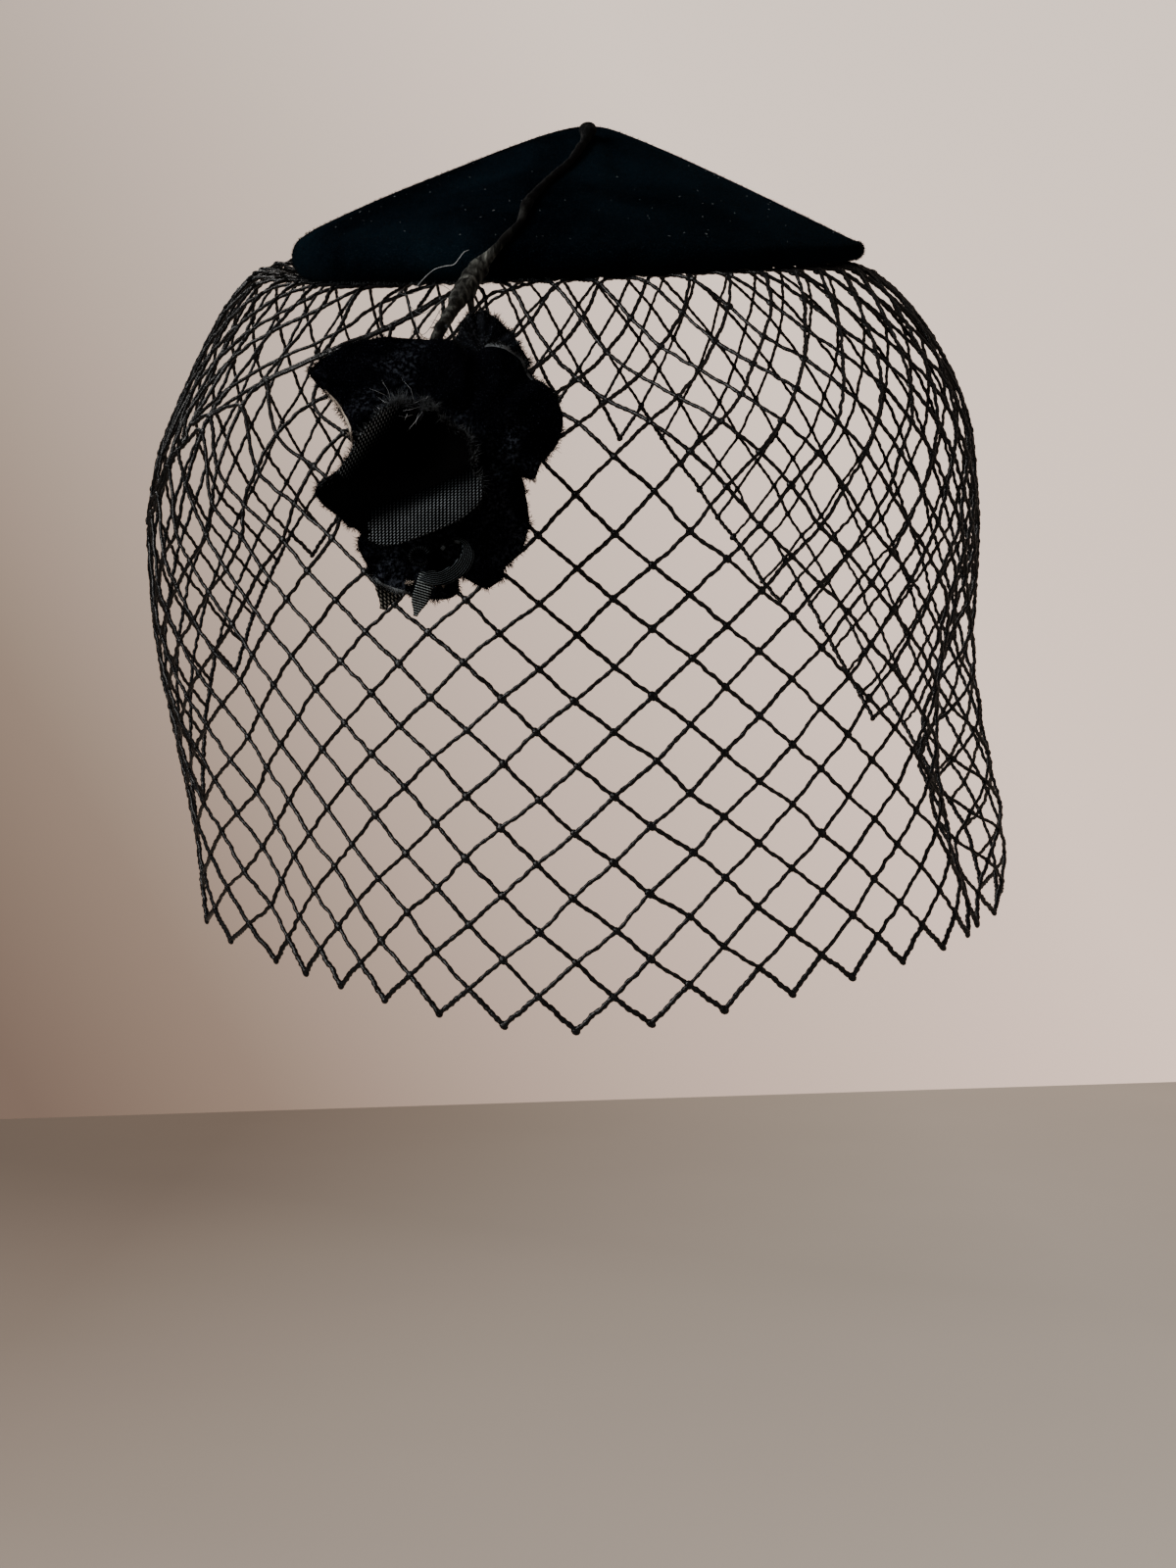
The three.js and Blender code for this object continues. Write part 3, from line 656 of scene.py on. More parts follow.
def net_layout():
    """Place and presence of every knot, by column and half row; row 0 is sewn under the rim."""
    index = np.arange(2 * NET_COLUMNS)
    base = index * math.pi / NET_COLUMNS
    a = degrees_round(base)
    size = np.abs(a)
    left = -np.clip(size - LEAN_LEFT[0], 0, LEAN_LEFT[1])
    right = np.clip((size - LEAN_RIGHT[0]) / 2, 0, LEAN_RIGHT[1])
    slant = np.where(a < 0, left, right) * smooth_step(180 - size, 0, LEAN_EASE) * DEG
    rows = np.array(ROW_DEPTH, float)
    shape = (len(index), NET_ROWS + 1)
    place, kept = np.zeros((*shape, 3)), np.zeros(shape, bool)
    before, after = np.roll(index, 1), np.roll(index, -1)
    for j in range(NET_ROWS + 1):
        psi = base + slant * (j / NET_ROWS) ** 1.3
        for draw in DRAWN:
            amount = draw["slant"] * np.interp(j, draw["rows"], draw["share"]) * DEG
            psi = psi + amount * bump(a, draw["azimuth"], draw["width"])
        hem = around(HEM_SHARE, psi)
        u = np.interp(j, rows[:, 0], rows[:, 1]) * np.maximum(hem, FULL_SHARE)
        if 0 < j < NET_ROWS:
            psi = psi + rng.normal(0, KNOT_NOISE[0], len(index)) * DEG
            u = u + rng.normal(0, KNOT_NOISE[1], len(index))
        kept[:, j] = (index + j) % 2 == 0
        if j:
            u = to_crease(psi, u)
            kept[:, j] &= (kept[before, j - 1] | kept[after, j - 1]) & (u <= hem + HEM_SLACK)
        place[:, j] = veil_surface(psi, u)
    return place, kept


def net_links(place, kept):
    """Every link as four knots on its own diagonal, with whether it borders the hem."""
    columns = 2 * NET_COLUMNS
    curves, hem = [], []
    for direction in (1, -1):
        for j in range(1, NET_ROWS + 1):
            for i in np.flatnonzero(kept[:, j]):
                above, beside = (i - direction) % columns, (i + direction) % columns
                if not kept[above, j - 1]:
                    continue
                p1, p2 = place[above, j - 1], place[i, j]
                before = (i - 2 * direction) % columns
                came = j > 1 and kept[before, j - 2]
                goes = j < NET_ROWS and kept[beside, j + 1]
                p0 = place[before, j - 2] if came else 2 * p1 - p2
                p3 = place[beside, j + 1] if goes else 2 * p2 - p1
                curves.append((p0, p1, p2, p3))
                # A link borders the hem where a cell on either side of it is missing.
                inside = j < NET_ROWS and kept[above, j + 1]
                outside = kept[beside, j - 1]
                hem.append(not (inside and outside))
    return np.array(curves), np.array(hem)


def thread_paths(curves):
    t = np.linspace(0, 1, THREAD_STEPS)[:, None]
    w = catmull_weights(t)
    paths = sum(w[k] * curves[:, k, None] for k in range(4))
    number = len(paths)
    out = unit(paths * [1, 1, 0])
    along = unit(curves[:, 2] - curves[:, 1])[:, None]
    side = unit(np.cross(np.broadcast_to(along, paths.shape), out))
    window = np.sin(math.pi * t)[None]
    turns = rng.uniform(0.7, 2.2, (number, 1, 1))
    start = rng.uniform(0, TURN, (number, 1, 1))
    amount = rng.uniform(0.03, 0.18, (number, 1, 1))
    wave = amount * np.sin(turns * TURN * t[None] + start) * window
    lift = 0.14 * np.sin(1.3 * turns * TURN * t[None] + 2 * start) * window
    return paths + side * wave + out * lift, out


KNOT_SIZE = np.array([1.05, 0.8, 0.62])


def make_knots(place, kept):
    pieces = Pieces()
    ball = bmesh.new()
    bmesh.ops.create_icosphere(ball, subdivisions=2, radius=1.0)
    points = np.array([v.co for v in ball.verts])
    faces = [tuple(v.index for v in f.verts) for f in ball.faces]
    ball.free()
    for i, j in np.argwhere(kept):
        if j == 0:
            continue
        here = place[i, j]
        along = unit(here - place[(i - 1) % (2 * NET_COLUMNS), j - 1] + 1e-6)
        out = unit(here * [1, 1, 0])
        side = unit(np.cross(out, along))
        size = KNOT_SIZE * rng.uniform(0.85, 1.2, 3)
        pieces.add(here + (points * size) @ np.stack([along, side, out]), faces)
    return pieces.build("veil_knots", [NET_THREAD], "veil")


def make_gathering():
    """The thicker thread that the net's top is gathered on, under the rim."""
    turn = np.linspace(0, TURN, 240)
    ring = veil_surface(turn, 0 * turn) + outward(turn) * (0.25 * np.sin(37 * turn) - 1.2)[:, None]
    ring[:, 2] += 0.6 + 0.25 * np.sin(96 * turn)
    pieces = Pieces()
    pieces.add_tubes(ring[None], 0.5, 8, UP, 3.0, 0.25)
    return pieces.build("veil_gathering", [NET_THREAD], "veil")


def make_veil():
    """The net in five pieces: left, right, hem, knots and gathering."""
    place, kept = net_layout()
    curves, hem = net_links(place, kept)
    paths, out = thread_paths(curves)
    on_left = curves[:, 1:3, 0].mean(axis=1) < 0
    made = []
    for name, chosen in (("veil_left", on_left & ~hem), ("veil_right", ~on_left & ~hem)):
        threads = Pieces()
        radius = THREAD_RADIUS * rng.uniform(0.92, 1.1, (chosen.sum(), 1))
        threads.add_tubes(paths[chosen], radius, 6, out[chosen], THREAD_PITCH, 0.17)
        made.append(threads.build(name, [NET_THREAD], "veil"))
    edge = Pieces()
    edge.add_tubes(paths[hem], THREAD_RADIUS * 1.25, 8, out[hem], THREAD_PITCH * 0.8, 0.22)
    made.append(edge.build("veil_hem", [NET_THREAD], "veil"))
    return made + [make_knots(place, kept), make_gathering()]


# ---- stem ----
STEM_AZIMUTH = -18.4 * DEG
# The wire is pressed into the pile: its middle lies this many radii above the cloth.
STEM_SEAT = 0.75
# Over the cone: share of the way from the apex to the lip, place to the side, and radius.
STEM_OVER_HAT = (
    (0.17, 3.4, 2.2), (0.2, 3.9, 1.8), (0.26, 4.8, 1.15), (0.36, 5.6, 1.0), (0.47, 5.8, 0.9),
    (0.585, 4.7, 0.9), (0.675, 4.3, 0.95), (0.76, 4.5, 1.15), (0.83, 5.3, 0.95), (0.9, 6.2, 0.85),
    (0.965, 5.9, 0.95),
)
# Over the lip: angle round it in degrees, place to the side, and radius.
STEM_OVER_LIP = ((45, 5.3, 1.0), (22, 4.1, 1.15), (5, 2.8, 1.6), (-10, 1.5, 2.1))
# Free below the lip, where its taped joint is thickest: place and radius.
STEM_BELOW = (
    (-22.6, -70, -20.5, 2.3), (-23.4, -77, -24, 2.35), (-24.2, -84, -27, 2.1), (-24.9, -92, -30.8, 1.45),
    (-25.9, -102, -35.3, 1.35), (-26.8, -111, -39.5, 1.25), (-27.6, -116.5, -45, 1.5),
    (-28.6, -118.2, -56, 2.4), (-28.8, -118.3, -68, 2.6),
)
STEM_STEPS = 260
STEM_SIDES = 18
TAPE_PITCH = 3.4
TAPE_RIDGE = 0.09
# A stub of the tape stands off the joint: its middle line and radius.
STEM_STUB = ((-22.8, -79, -24.5, 1.0), (-22.0, -83, -28, 0.8), (-21.6, -86, -31.2, 0.45))
# One pale fibre lies loose across the lip beside the joint.
LOOSE_FIBRE = (
    (-34.5, -66.5, -21.4), (-33.0, -68.5, -20.2), (-30.6, -69.5, -18.3), (-28.3, -69.5, -17.5),
    (-26.3, -69.3, -17.1), (-25.1, -68.8, -15.6), (-24.2, -68.0, -14.2), (-23.2, -66.8, -13.4),
)
FRAY_COUNT = 110
CURL_COUNT = 7


def stem_route():
    """Points of the stem's middle line with its radius, from the apex to behind the flower."""
    phi = np.array([STEM_AZIMUTH - math.pi / 2])
    sideways = np.array([math.cos(STEM_AZIMUTH), math.sin(STEM_AZIMUTH), 0])
    route = []
    for q, off, radius in STEM_OVER_HAT:
        point = cone_point(phi, q, 0)[0] + sideways * off
        point[2] += radius * STEM_SEAT
        route.append([*tilted(point), radius])
    for angle, off, radius in STEM_OVER_LIP:
        point = lip_point(phi, angle, lip_radius(phi) + radius * STEM_SEAT)[0] + sideways * off
        route.append([*tilted(point), radius])
    return np.array(route + [list(row) for row in STEM_BELOW], float)


def make_wire(path, radius):
    """The wire with the ridges of its tape, its lumps and its rounded ends."""
    run = run_along(path)
    lumps = 1 + 0.1 * np.sin(run * 0.9) * np.sin(run * 0.37 + 1) + 0.22 * bump(run, 45, 2.2)
    ends = np.sqrt(np.clip(np.minimum(run, run[-1] - run) / 1.2, 0.02, 1))
    angle = np.arange(STEM_SIDES) * TURN / STEM_SIDES
    wrap = TAPE_RIDGE * np.abs(np.sin(0.5 * (angle + run[:, None] * TURN / TAPE_PITCH))) ** 0.6
    ridges = 0.9 + wrap + 0.03 * np.sin(3 * angle + run[:, None] * 0.4)
    wire = Pieces()
    wire.add_tubes(path[None], radius * lumps * ends, STEM_SIDES, UP, ridges=ridges)
    wire.build("stem_wire", [WIRE_TAPE], "stem")


def make_frays(path, radius):
    """Frayed tape, loose curled fibres, the stub and the pale fibre on the lip."""
    along, side, up = frame_along(path, UP)
    frays = Pieces()
    spot = rng.integers(int(STEM_STEPS * 0.72), int(STEM_STEPS * 0.97), FRAY_COUNT)
    turn = rng.uniform(0, TURN, (FRAY_COUNT, 1))
    off = side[spot] * np.cos(turn) + up[spot] * np.sin(turn)
    root = path[spot] + off * (radius[spot] * 0.85)[:, None]
    lean = off * 0.6 + along[spot] + rng.normal(0, 0.25, (FRAY_COUNT, 3))
    frays.add_hairs(root, lean, rng.uniform(0.8, 3.2, FRAY_COUNT), 0.16)
    curls = []
    for k in range(CURL_COUNT):
        start = path[int(STEM_STEPS * (0.62 + 0.05 * k))]
        t = np.linspace(0, 1, 24)
        reach = rng.uniform(7, 15)
        bend = rng.uniform(-1, 1, 3) * [1.0, 0.4, 1.0]
        sway = np.stack([-t, 0.15 * np.sin(7 * t), 0.25 * np.sin(5 * t + k)], 1)
        curls.append(start + reach * sway * [0.9, 1, 1] + reach * 0.5 * (t**2)[:, None] * bend - [0, 1.8, 0])
    frays.add_tubes(np.array(curls), 0.06, 4, BACK)
    stub = open_curve(STEM_STUB, 12)[None]
    frays.add_tubes(stub[..., :3], stub[..., 3], 10, BACK, look=1)
    frays.add_tubes(open_curve(LOOSE_FIBRE, 40)[None], 0.07, 5, BACK, look=2)
    frays.build("stem_frays", [GREY_FRAY, WIRE_TAPE, PALE_LINT])


def make_stem():
    route = open_curve(stem_route(), STEM_STEPS)
    path, radius = route[:, :3], route[:, 3]
    make_wire(path, radius)
    make_frays(path, radius)


# ---- flower ----
FLOWER = np.array([-26.6, -121.2, -64.0])
PETAL_WALL = 1.0
PETAL_STEP = 1.7
# A petal's place in the stack, the point its cloth spreads from, how far that point and the outline come
# forward, its waves and their size, and its outline. Points are (right, up) from the flower's middle, and
# outlines run anticlockwise.
Petal = collections.namedtuple("Petal", "level middle dome rim waves wave_size outline")
PETALS = {
    "petal_top": Petal(0.4, (9, 17), 0.6, 0.5, 5, 1.5, (
        (9, 8), (17.4, 15.5), (16, 19.4), (14, 22.6), (11, 25.2), (7.8, 26.2), (5.6, 24.8), (4.0, 21.6),
        (1.2, 17), (1, 10),
    )),
    "petal_right": Petal(1.3, (11, 7), 1.6, -0.4, 4, 0.9, (
        (0, -4), (8, -6), (14.8, -5.2), (18.6, -6), (20.2, -2.8), (23.2, 1), (24.2, 6.4), (21.6, 11.4),
        (18, 14), (16.4, 17.2), (13.2, 19.3), (8.5, 19.8), (2.5, 17), (-1, 9),
    )),
    "petal_lower_right": Petal(1.3, (9, -14), 1.2, 0.0, 5, 0.9, (
        (-1, -12), (3, -22), (8.4, -26.4), (12.2, -25.4), (13.4, -22.5), (15.8, -20.3), (17.7, -15.5),
        (17.2, -9), (15.4, -4.6), (9, -4.2), (1, -4),
    )),
    "petal_upper_left": Petal(2.2, (-10, 11), 1.0, 0.2, 4, 0.7, (
        (4, 4), (6, 13), (4, 19.6), (-2, 20.4), (-8, 20.7), (-13, 20.2), (-17.6, 18.8), (-21.2, 16.9),
        (-23.1, 15), (-23.6, 13.3), (-21.6, 11), (-18.4, 7.4), (-16.4, 3.4), (-15, 0), (-8, -1),
    )),
    "petal_lower": Petal(2.1, (-5, -18), 1.2, 0.0, 5, 0.9, (
        (-7, -8), (-12, -12), (-14.6, -18), (-13, -22.4), (-10.8, -26), (-5, -28.2), (-1, -28.9),
        (4, -28.2), (4.2, -22), (3.5, -15), (-1, -8),
    )),
    "petal_left": Petal(3.0, (-9, -6), 0.8, 0.4, 4, 0.7, (
        (4, -3), (1, 3), (-6, 5), (-12, 1.5), (-17, -3.6), (-22.4, -8.6), (-18.8, -12), (-15.6, -15.6),
        (-8, -16), (0, -11),
    )),
}
# Near this point each petal is drawn back to the stem's end: where, within what reach, and by how much.
GATHER = {"right": -2.4, "up": -1.5, "reach": 5.5, "least": 2.6, "per_level": 0.62}
# Where a petal's cut edge shows: its look, and the reach of that part to the right and up.
BARE_EDGES = {
    "petal_upper_left": (RAW_EDGE, (-22.5, -15), (-3, 11)),
    "petal_right": (GREY_FRAY, (7.5, 19), (12, 22)),
    "petal_lower": (GREY_FRAY, (-16, -3), (-30, -24.5)),
}
FRINGE_LOOKS = [DARK_PILE, GREY_FRAY, RAW_EDGE, PALE_LINT]
# The cup is one petal folded into a bowl that opens forward and up, its woven side inwards. Its bowl is
# shallow at the low lip and full at the high one, and the low lip bends back.
CUP_LEVEL = 3.9
CUP_MIDDLE = (-4, -5)
CUP_LIP = 4.6
CUP_DEPTH = 4.6
CUP_SHALLOW = 0.35
CUP_LEAN = (-16, 8)
CUP_DROOP = 2.4
CUP_OUTLINE = (
    (-20.3, -12), (-15.5, -15.5), (-11.6, -18.5), (-7.6, -19.3), (-0.3, -16.9), (5.2, -14.5),
    (8.5, -11.8), (9.4, -8.5), (7.9, -4.5), (7.8, -1), (6.3, 1.2), (3.7, 3.1), (1.5, 5), (-1, 7.4),
    (-2.4, 4.5), (-3.8, 6.6), (-6.2, 7.8), (-9, 6), (-12.2, 3), (-14.6, -0.6), (-16.6, -4), (-19.6, -7.2),
    (-21.8, -9.3),
)
# Grey hairs on the cup's upper rim, thick at its two peaks: from and to (right), per point, length.
CUP_TUFTS = ((-22, -9, 6, 1.3), (-8.6, -4.2, 24, 1.9), (-1.7, 0.6, 30, 1.9), (0.6, 10, 5, 1.8))
# Pale raw thread ends on the lower petal's edge, off the flower's middle.
LOOSE_ENDS = ((-4.8, -26.1), (-0.7, -26.0), (1.4, -26.3))
STRAY_COUNT = 12
LOOSE_COUNT = 26


def cup_depth(up):
    return CUP_DEPTH * (CUP_SHALLOW + (1 - CUP_SHALLOW) * smooth_step(up, *CUP_LEAN))


def in_flower(right, up, forward):
    return FLOWER + np.stack([right, -forward, up], -1)


def drawn_back(right, up, level):
    away = np.hypot(right - GATHER["right"], up - GATHER["up"])
    return (GATHER["least"] + GATHER["per_level"] * level) * bump(away, 0, GATHER["reach"])


def petal_grid(outline, middle, radial, circle, seed, ragged=0.35):
    """Flat places from the middle to a slightly ragged outline."""
    theta = np.arange(circle) * TURN / circle
    edge = np.stack([around(values, theta) for values in np.transpose(outline)], 1)
    wobble = sum(np.sin(theta * n + seed * n) / n**0.7 for n in (11, 17, 29, 43))
    away = edge - middle
    edge = edge + unit(away) * (ragged * wobble / 1.6)[:, None]
    share = np.linspace(0, 1, radial + 1)[1:]
    flat = middle + share[:, None, None] * (edge - middle)[None]
    return flat, share, theta


def petal_body(flat, share, middle, forward, top, level):
    """A petal's closed cloth, the flat place of each point, and its rim with the way out of it."""
    forward = forward - drawn_back(flat[..., 0], flat[..., 1], level)
    top = top - drawn_back(*middle, level)
    thin = 0.3 * share[:, None] ** 8
    front = in_flower(flat[..., 0], flat[..., 1], forward + PETAL_WALL - thin)
    back = in_flower(flat[..., 0], flat[..., 1], forward + thin)
    middles = [in_flower(*middle, top + PETAL_WALL), in_flower(*middle, top)]
    points, faces = shell_body(np.concatenate([front, back[::-1]]), *middles)
    uv = np.vstack([flat.reshape(-1, 2), flat[::-1].reshape(-1, 2), middle, middle])
    rim = (front[-1] + back[-1]) / 2
    return points, faces, uv, rim, unit(rim - in_flower(*middle, top))


def is_bare(name, right, up):
    if name not in BARE_EDGES:
        return np.zeros(len(right), bool)
    across, along = BARE_EDGES[name][1:]
    return (right > across[0]) & (right < across[1]) & (up > along[0]) & (up < along[1])


def make_petal(name, petal, seed):
    middle = np.array(petal.middle, float)
    radial, circle = 18, 132
    flat, share, theta = petal_grid(petal.outline, middle, radial, circle, seed)
    wave = np.sin(theta * petal.waves + seed) + 0.4 * np.sin(theta * (2 * petal.waves + 1) + 2 * seed)
    s = share[:, None]
    crumple = 0.3 * np.sin(flat[..., 0] * 0.9 + seed) * np.sin(flat[..., 1] * 0.8 - seed)
    level = petal.level * PETAL_STEP
    forward = level + petal.dome * (1 - s**2) + petal.rim * s**2
    forward = forward + petal.wave_size * wave[None] * s**2 + crumple * petal.wave_size
    body = petal_body(flat, share, middle, forward, level + petal.dome, petal.level)
    points, faces, uv, rim, away = body
    cut = is_bare(name, uv[:, 0], uv[:, 1])
    cut[:-2] &= np.repeat(np.r_[share, share[::-1]] > 1 - 1.5 / radial, circle)
    bare = [int(all(cut[c] for c in face)) for face in faces]
    edge = BARE_EDGES[name][0] if name in BARE_EDGES else FLOWER_VELVET
    pile = CREASED_VELVET_PAINTED_SHEEN if name == "petal_top" else FLOWER_VELVET
    cloth = add_mesh(name + "_cloth", points, faces, [pile, edge], name, bare, uv)
    return rim, away


def beside(points, line):
    """Whether flat points lie on the right of a line, seen from its start to its end."""
    start, end = (np.array(p) for p in line)
    return (points - start) @ np.array([start[1] - end[1], end[0] - start[0]]) < 0


def make_cup(seed):
    middle = np.array(CUP_MIDDLE, float)
    radial, circle = 40, 240
    flat, share, theta = petal_grid(CUP_OUTLINE, middle, radial, circle, seed, ragged=0.25)
    s = share[:, None]
    level = CUP_LEVEL * PETAL_STEP + CUP_LIP
    forward = level + cup_depth(flat[..., 1]) * (s**2.2 - 1)
    forward = forward + 0.5 * np.sin(theta * 5 + seed)[None] * s**3
    forward = forward - CUP_DROOP * smooth_step(-flat[..., 1], 8, 20) * s
    low = level - cup_depth(middle[1])
    points, faces, uv, rim, away = petal_body(flat, share, middle, forward, low, CUP_LEVEL)
    facing = np.arange(len(uv)) < radial * circle
    band = beside(uv, BAND) & (uv[:, 0] > BAND_LEFT) & facing
    start, end = (np.array(p) for p in WALL)
    along = (uv - start) @ (end - start) / np.sum((end - start) ** 2)
    wall = beside(uv, WALL) & (along > 0.04) & (along < 0.93) & facing
    # Inside the bowl, faces outside the band and the wall get the near-black velvet: painted shadow.
    looks = [1 if all(band[c] for c in face) else 2 if all(wall[c] for c in face) else 0 for face in faces]
    weaves = [CUP_VELVET_AND_SHADE, CUP_WEAVE, WALL_WEAVE]
    cup = add_mesh("petal_cup_cloth", points, faces, weaves, "petal_cup", looks, uv)
    return rim, away


def edge_hairs(pieces, rim, away, per_point, length, width, spread, look, patchy=0.35):
    """Pile or frayed threads along a rim, thicker in some places than in others."""
    place = np.arange(len(rim)) / len(rim) * TURN
    many = 1 + patchy * (np.sin(5 * place + per_point) + np.sin(11 * place) + np.sin(23 * place + 2))
    counts = np.maximum(np.round(per_point * many), 0).astype(int)
    roots = np.repeat(rim, counts, axis=0)
    roots = roots + rng.normal(0, 0.25, roots.shape)
    out = np.repeat(away, counts, axis=0)
    sizes = rng.uniform(0.3, 1, len(roots)) * length * np.repeat(np.clip(many, 0.6, 1.6), counts)
    lean = out + rng.normal(0, spread, roots.shape)
    pieces.add_hairs(roots - out * 0.3, lean, sizes, width, 0.5, look)


def make_flower():
    """Seven petals and one fringe of pile, frayed threads and raw ends along their rims."""
    fringe = Pieces()
    pile, grey, raw, pale = range(4)
    for number, (name, petal) in enumerate(PETALS.items()):
        rim, away = make_petal(name, petal, 1.7 * number + 0.6)
        edge_hairs(fringe, rim, away, 10, 1.2, 0.12, 0.55, pile)
        if name in BARE_EDGES:
            cut = is_bare(name, rim[:, 0] - FLOWER[0], rim[:, 2] - FLOWER[2])
            look = FRINGE_LOOKS.index(BARE_EDGES[name][0])
            edge_hairs(fringe, rim[cut], away[cut], 9, 0.7, 0.1, 0.9, look)
        if name == "petal_top":
            edge_hairs(fringe, rim, away, 2, 0.9, 0.1, 0.8, grey)
    rim, away = make_cup(2.4)
    edge_hairs(fringe, rim, away, 6, 1.2, 0.1, 0.7, pile)
    right, up = rim[:, 0] - FLOWER[0], rim[:, 2] - FLOWER[2]
    forward = np.array([0.0, -0.8, 0.0])
    for low, high, per_point, length in CUP_TUFTS:
        part = (up > -9) & (right > low) & (right < high)
        edge_hairs(fringe, rim[part], away[part] + forward, per_point, length, 0.06, 1.0, grey, patchy=0.5)
    n = STRAY_COUNT
    root = in_flower(rng.uniform(-9, 0, n), rng.uniform(5, 9, n), rng.uniform(10.5, 12, n))
    fringe.add_hairs(root, rng.normal(0, 1, (n, 3)) * [1, 0.2, 1], rng.uniform(2, 5, n), 0.07, 0.9, pale)
    n = LOOSE_COUNT
    for right, up in LOOSE_ENDS:
        root = in_flower(rng.normal(right, 0.3, n), rng.normal(up, 0.2, n), np.full(n, 7.4))
        lean = rng.normal(0, 1, (n, 3)) * [1, 0.4, 0.6]
        fringe.add_hairs(root, lean, rng.uniform(0.4, 1.1, n), 0.1, 0.5, raw)
    fringe.build("petal_fringe", FRINGE_LOOKS)


# ---- ribbons ----
RIBBON_WALL = 0.8
# The ribbon's loop round its hub, from the tail over the right and back behind: (right, up, forward).
LOOP = (
    (-1.8, -24.6, 7.7), (0.4, -25.3, 8.4), (2.9, -24.8, 8.8), (5.1, -23.3, 8.8), (6.3, -21.1, 8.4),
    (5.8, -18.9, 7.6), (4.2, -18.0, 6.8), (2.4, -18.4, 6.5), (1.2, -19.6, 6.5),
)
LOOP_HUB = (2.2, -20.8, 8.0)
LOOP_STEPS = 44
SHORT_FLAT = (0.01, 0.011)
LOOP_FLAT = (0.01, 0.024)
LEAST_AREA = 0.301


def ribbon_strip(line, width_dir, width, wall=RIBBON_WALL):
    """A closed strip of cloth along a line, its width at each step, and its flat place for the weave."""
    line = np.asarray(line, float)
    along = unit(np.gradient(line, axis=0))
    wide = unit(np.broadcast_to(width_dir, line.shape))
    normal = unit(np.cross(along, wide))
    run = run_along(line)
    width = np.broadcast_to(width, run.shape)[:, None]
    across = np.linspace(-0.5, 0.5, 7)
    front = line[:, None] + wide[:, None] * (across * width)[..., None] + normal[:, None] * wall / 2
    back = front - normal[:, None] * wall
    place = np.r_[across, across[::-1]] * width
    uv = np.stack(np.broadcast_arrays(place, run[:, None]), -1).reshape(-1, 2)
    return *tube_body(np.concatenate([back, front[:, ::-1]], 1)), uv


def make_ribbons():
    loop_line = open_curve([in_flower(*row) for row in LOOP], LOOP_STEPS)
    loop_wide = unit(loop_line - in_flower(*LOOP_HUB)) * 0.9 + np.array([0.0, 0.42, 0.0])
    loop_width = 2.9 - 1.9 * smooth_step(np.linspace(0, 1, LOOP_STEPS), 0.5, 0.75)
    t = np.linspace(0, 1, 30)
    tail_line = in_flower(-1.1 - 2.5 * t, -24.3 - 8 * t, 6.9 + 0.3 * np.sin(5 * t))
    tab_line = in_flower(-6.6 - 3.4 * t, -21 - 9.8 * t, 3.2 + 0.3 * np.sin(4 * t))
    teeth = 1 + 0.12 * np.abs(np.sin(34 * t))
    tail_width = 3.0 * teeth * (1 - 0.75 * smooth_step(t, 0.6, 1))
    tab_width = 6.2 * teeth * (1 - 0.8 * smooth_step(t, 0.5, 1))
    rows = (
        ("ribbon_loop", loop_line, loop_wide, loop_width, LOOP_FLAT, LOOP_WEAVE_SHADED),
        ("ribbon_tail", tail_line, (1, 0, -0.16), tail_width, SHORT_FLAT, TAIL_WEAVE),
        ("backing_tab", tab_line, (1, 0, -0.3), tab_width, SHORT_FLAT, TAB_WEAVE),
    )
    for node, line, wide, width, flat, weave in rows:
        points, faces, uv = ribbon_strip(line, wide, width)
        piece = add_mesh(node + "_cloth", points, faces, [weave], node, uvs=uv)
        area = float(np.mean(width) * run_along(line)[-1]) * MM * MM
        area = max(area, LEAST_AREA * flat[0] * flat[1])
    turn = np.linspace(0.05, 0.9, 30) * TURN
    curl_line = in_flower(-2.4 + 1.8 * np.cos(turn), -21.2 + 1.6 * np.sin(turn), 8.9 + 0 * turn)
    points, faces, uv = ribbon_strip(curl_line, (0.1, 1, 0.2), 2.4, 0.6)
    add_mesh("ribbon_curl", points, faces, [CURL_WEAVE], uvs=uv)


# ---- stage, light and camera, in metres ----
# The backdrop lights the part less than it is bright to the camera.
WORLD_LIGHT = 0.4
WORLD_SHOWN = 1.45
BACKDROP = ((0.06, (0.155, 0.112, 0.089)), (0.2, (0.24, 0.178, 0.141)), (0.8, (0.88, 0.69, 0.6)))
BACKDROP_WARMTH = ((0.0, (1.07, 1.0, 0.95)), (1.0, (1.0, 1.05, 1.03)))
FLOOR_LOW = -0.48
FLOOR_SIDE = 2.2
FLOOR_NEAR = -2.2
# The far edge is slanted: how far back it lies on the viewer's left and right.
FLOOR_FAR = (1.53, 2.57)
# Each light: place, size, power in watts and tint. All face the part's middle.
LIT_POINT = np.array([0, -0.02, -0.07])
LIGHTS = {
    "window": ((-1.1, -0.75, 0.65), (0.7, 0.9), 50, (1.0, 0.98, 0.95)),
    "fill": ((1.3, -1.0, 0.1), (1.2, 1.2), 5, (1.0, 0.96, 0.92)),
    "back": ((-0.5, 0.9, 0.6), (0.8, 0.5), 3, (1.0, 0.98, 0.96)),
}
CAMERA_PLACE = (0.0024, -0.573, -0.128)
CAMERA_LENS = 54.16
CAMERA_SENSOR = 36


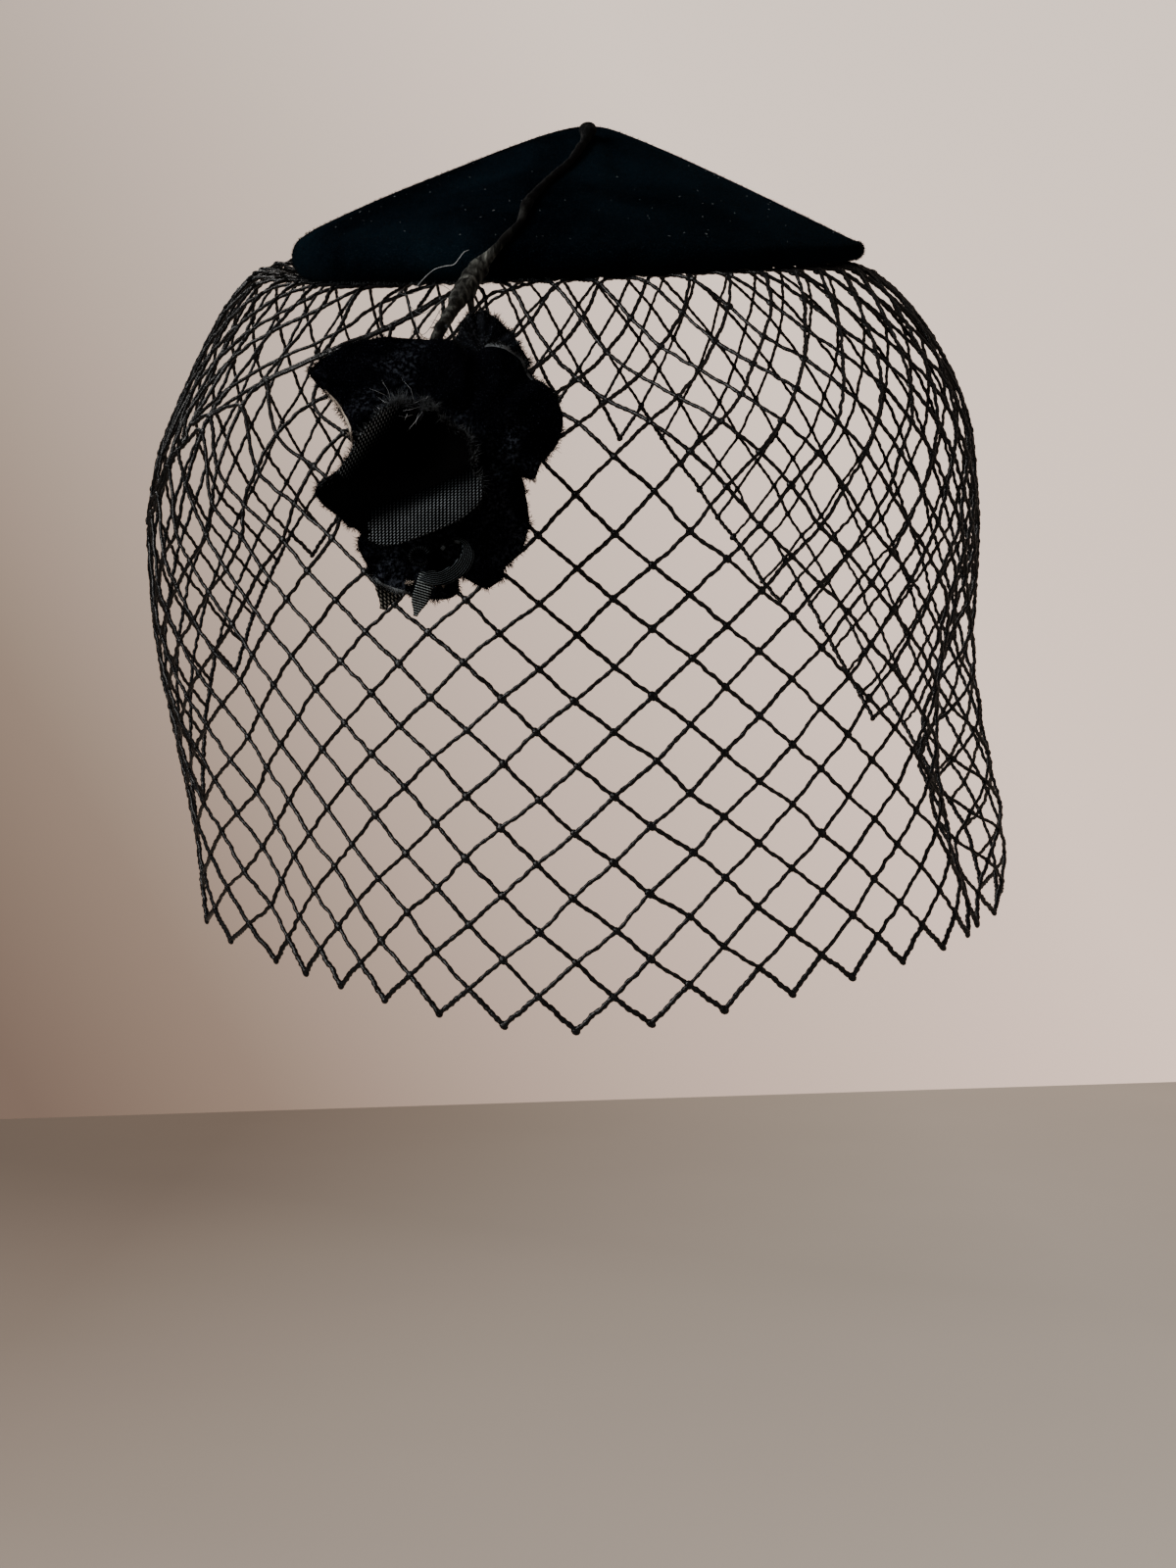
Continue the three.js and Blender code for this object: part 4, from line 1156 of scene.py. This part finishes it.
def floor_paint():
    """Pale matt paint, warmer on the viewer's left, with painted shade darker there and painted light far
    away.
    """
    s = Shader("floor_paint", roughness=0.75, specular=0.25)
    place = s.split(s.place)
    side = s.maths("MULTIPLY_ADD", place["X"], 1.1, 0.5)
    shade = s.ramp(side, [(0.1, (0.29, 0.238, 0.2)), (0.9, (0.52, 0.475, 0.423))])
    # Painted light: the floor grows lighter far away, more so on the right.
    away = s.maths("MULTIPLY_ADD", place["Y"], 0.35, s.maths("MULTIPLY", side, 0.22))
    far = s.ramp(away, [(0.25, 1.0), (0.55, 1.15), (1.0, 2.1)])
    mottle = s.ramp(s.noise(3.0, detail=3), [(0.3, 0.96), (0.7, 1.0)])
    s.color(s.mix(1.0, s.mix(1.0, shade, far, "MULTIPLY"), mottle, "MULTIPLY"))
    return s.material


def light_backdrop(tree):
    """A pale backdrop, a little darker on the viewer's left, that lights the part softly."""
    s = Nodes(tree, "Generated")
    way = s.split(s.place)
    spread = s.maths("MULTIPLY_ADD", way["Z"], 0.6, way["X"])
    shade = s.ramp(s.maths("MULTIPLY_ADD", spread, 1.5, 0.52), BACKDROP)
    warmth = s.ramp(s.maths("MULTIPLY_ADD", way["Z"], 2.0, 0.3), BACKDROP_WARMTH)
    seen = s.nodes.new("ShaderNodeLightPath").outputs["Is Camera Ray"]
    power = s.add("MapRange", {"Value": seen, "To Min": WORLD_LIGHT, "To Max": WORLD_SHOWN})
    color = s.vector("MULTIPLY", shade, warmth)["Vector"]
    s.fill(s.nodes["Background"], {"Color": color, "Strength": power.outputs["Result"]})


def make_floor():
    left, right = FLOOR_FAR
    corners = ((-FLOOR_SIDE, FLOOR_NEAR), (FLOOR_SIDE, FLOOR_NEAR), (FLOOR_SIDE, right), (-FLOOR_SIDE, left))
    mesh = bpy.data.meshes.new("floor")
    mesh.from_pydata([(x, y, FLOOR_LOW) for x, y in corners], [], [(0, 1, 2, 3)])
    mesh.materials.append(floor_paint())
    in_scene("floor", mesh)


def area_light(name, place, size, power, tint):
    data = bpy.data.lights.new(name, "AREA")
    data.shape = "RECTANGLE"
    data.size, data.size_y = size
    data.energy = power
    data.color = tint
    light = in_scene(name, data)
    light.location = place
    gaze = unit(LIT_POINT - np.array(place))
    light.rotation_euler = (math.acos(-gaze[2]), 0, math.atan2(-gaze[0], gaze[1]))


def make_stage():
    make_floor()
    world = bpy.data.worlds.new("studio")
    bpy.context.scene.world = world
    world.use_nodes = True
    light_backdrop(world.node_tree)
    for name, row in LIGHTS.items():
        area_light(name, *row)


def make_camera():
    """A level camera straight in front."""
    data = bpy.data.cameras.new("camera")
    data.lens = CAMERA_LENS
    data.sensor_width = CAMERA_SENSOR
    camera = in_scene("camera", data)
    camera.location = CAMERA_PLACE
    camera.rotation_euler = (math.pi / 2, 0, 0)
    bpy.context.scene.camera = camera


make_camera()
make_stage()
make_crown()
make_crown_pile()
make_crown_lint()
veil_left, veil_right, veil_hem, veil_knots, veil_gathering = make_veil()
make_stem()
make_flower()
make_ribbons()
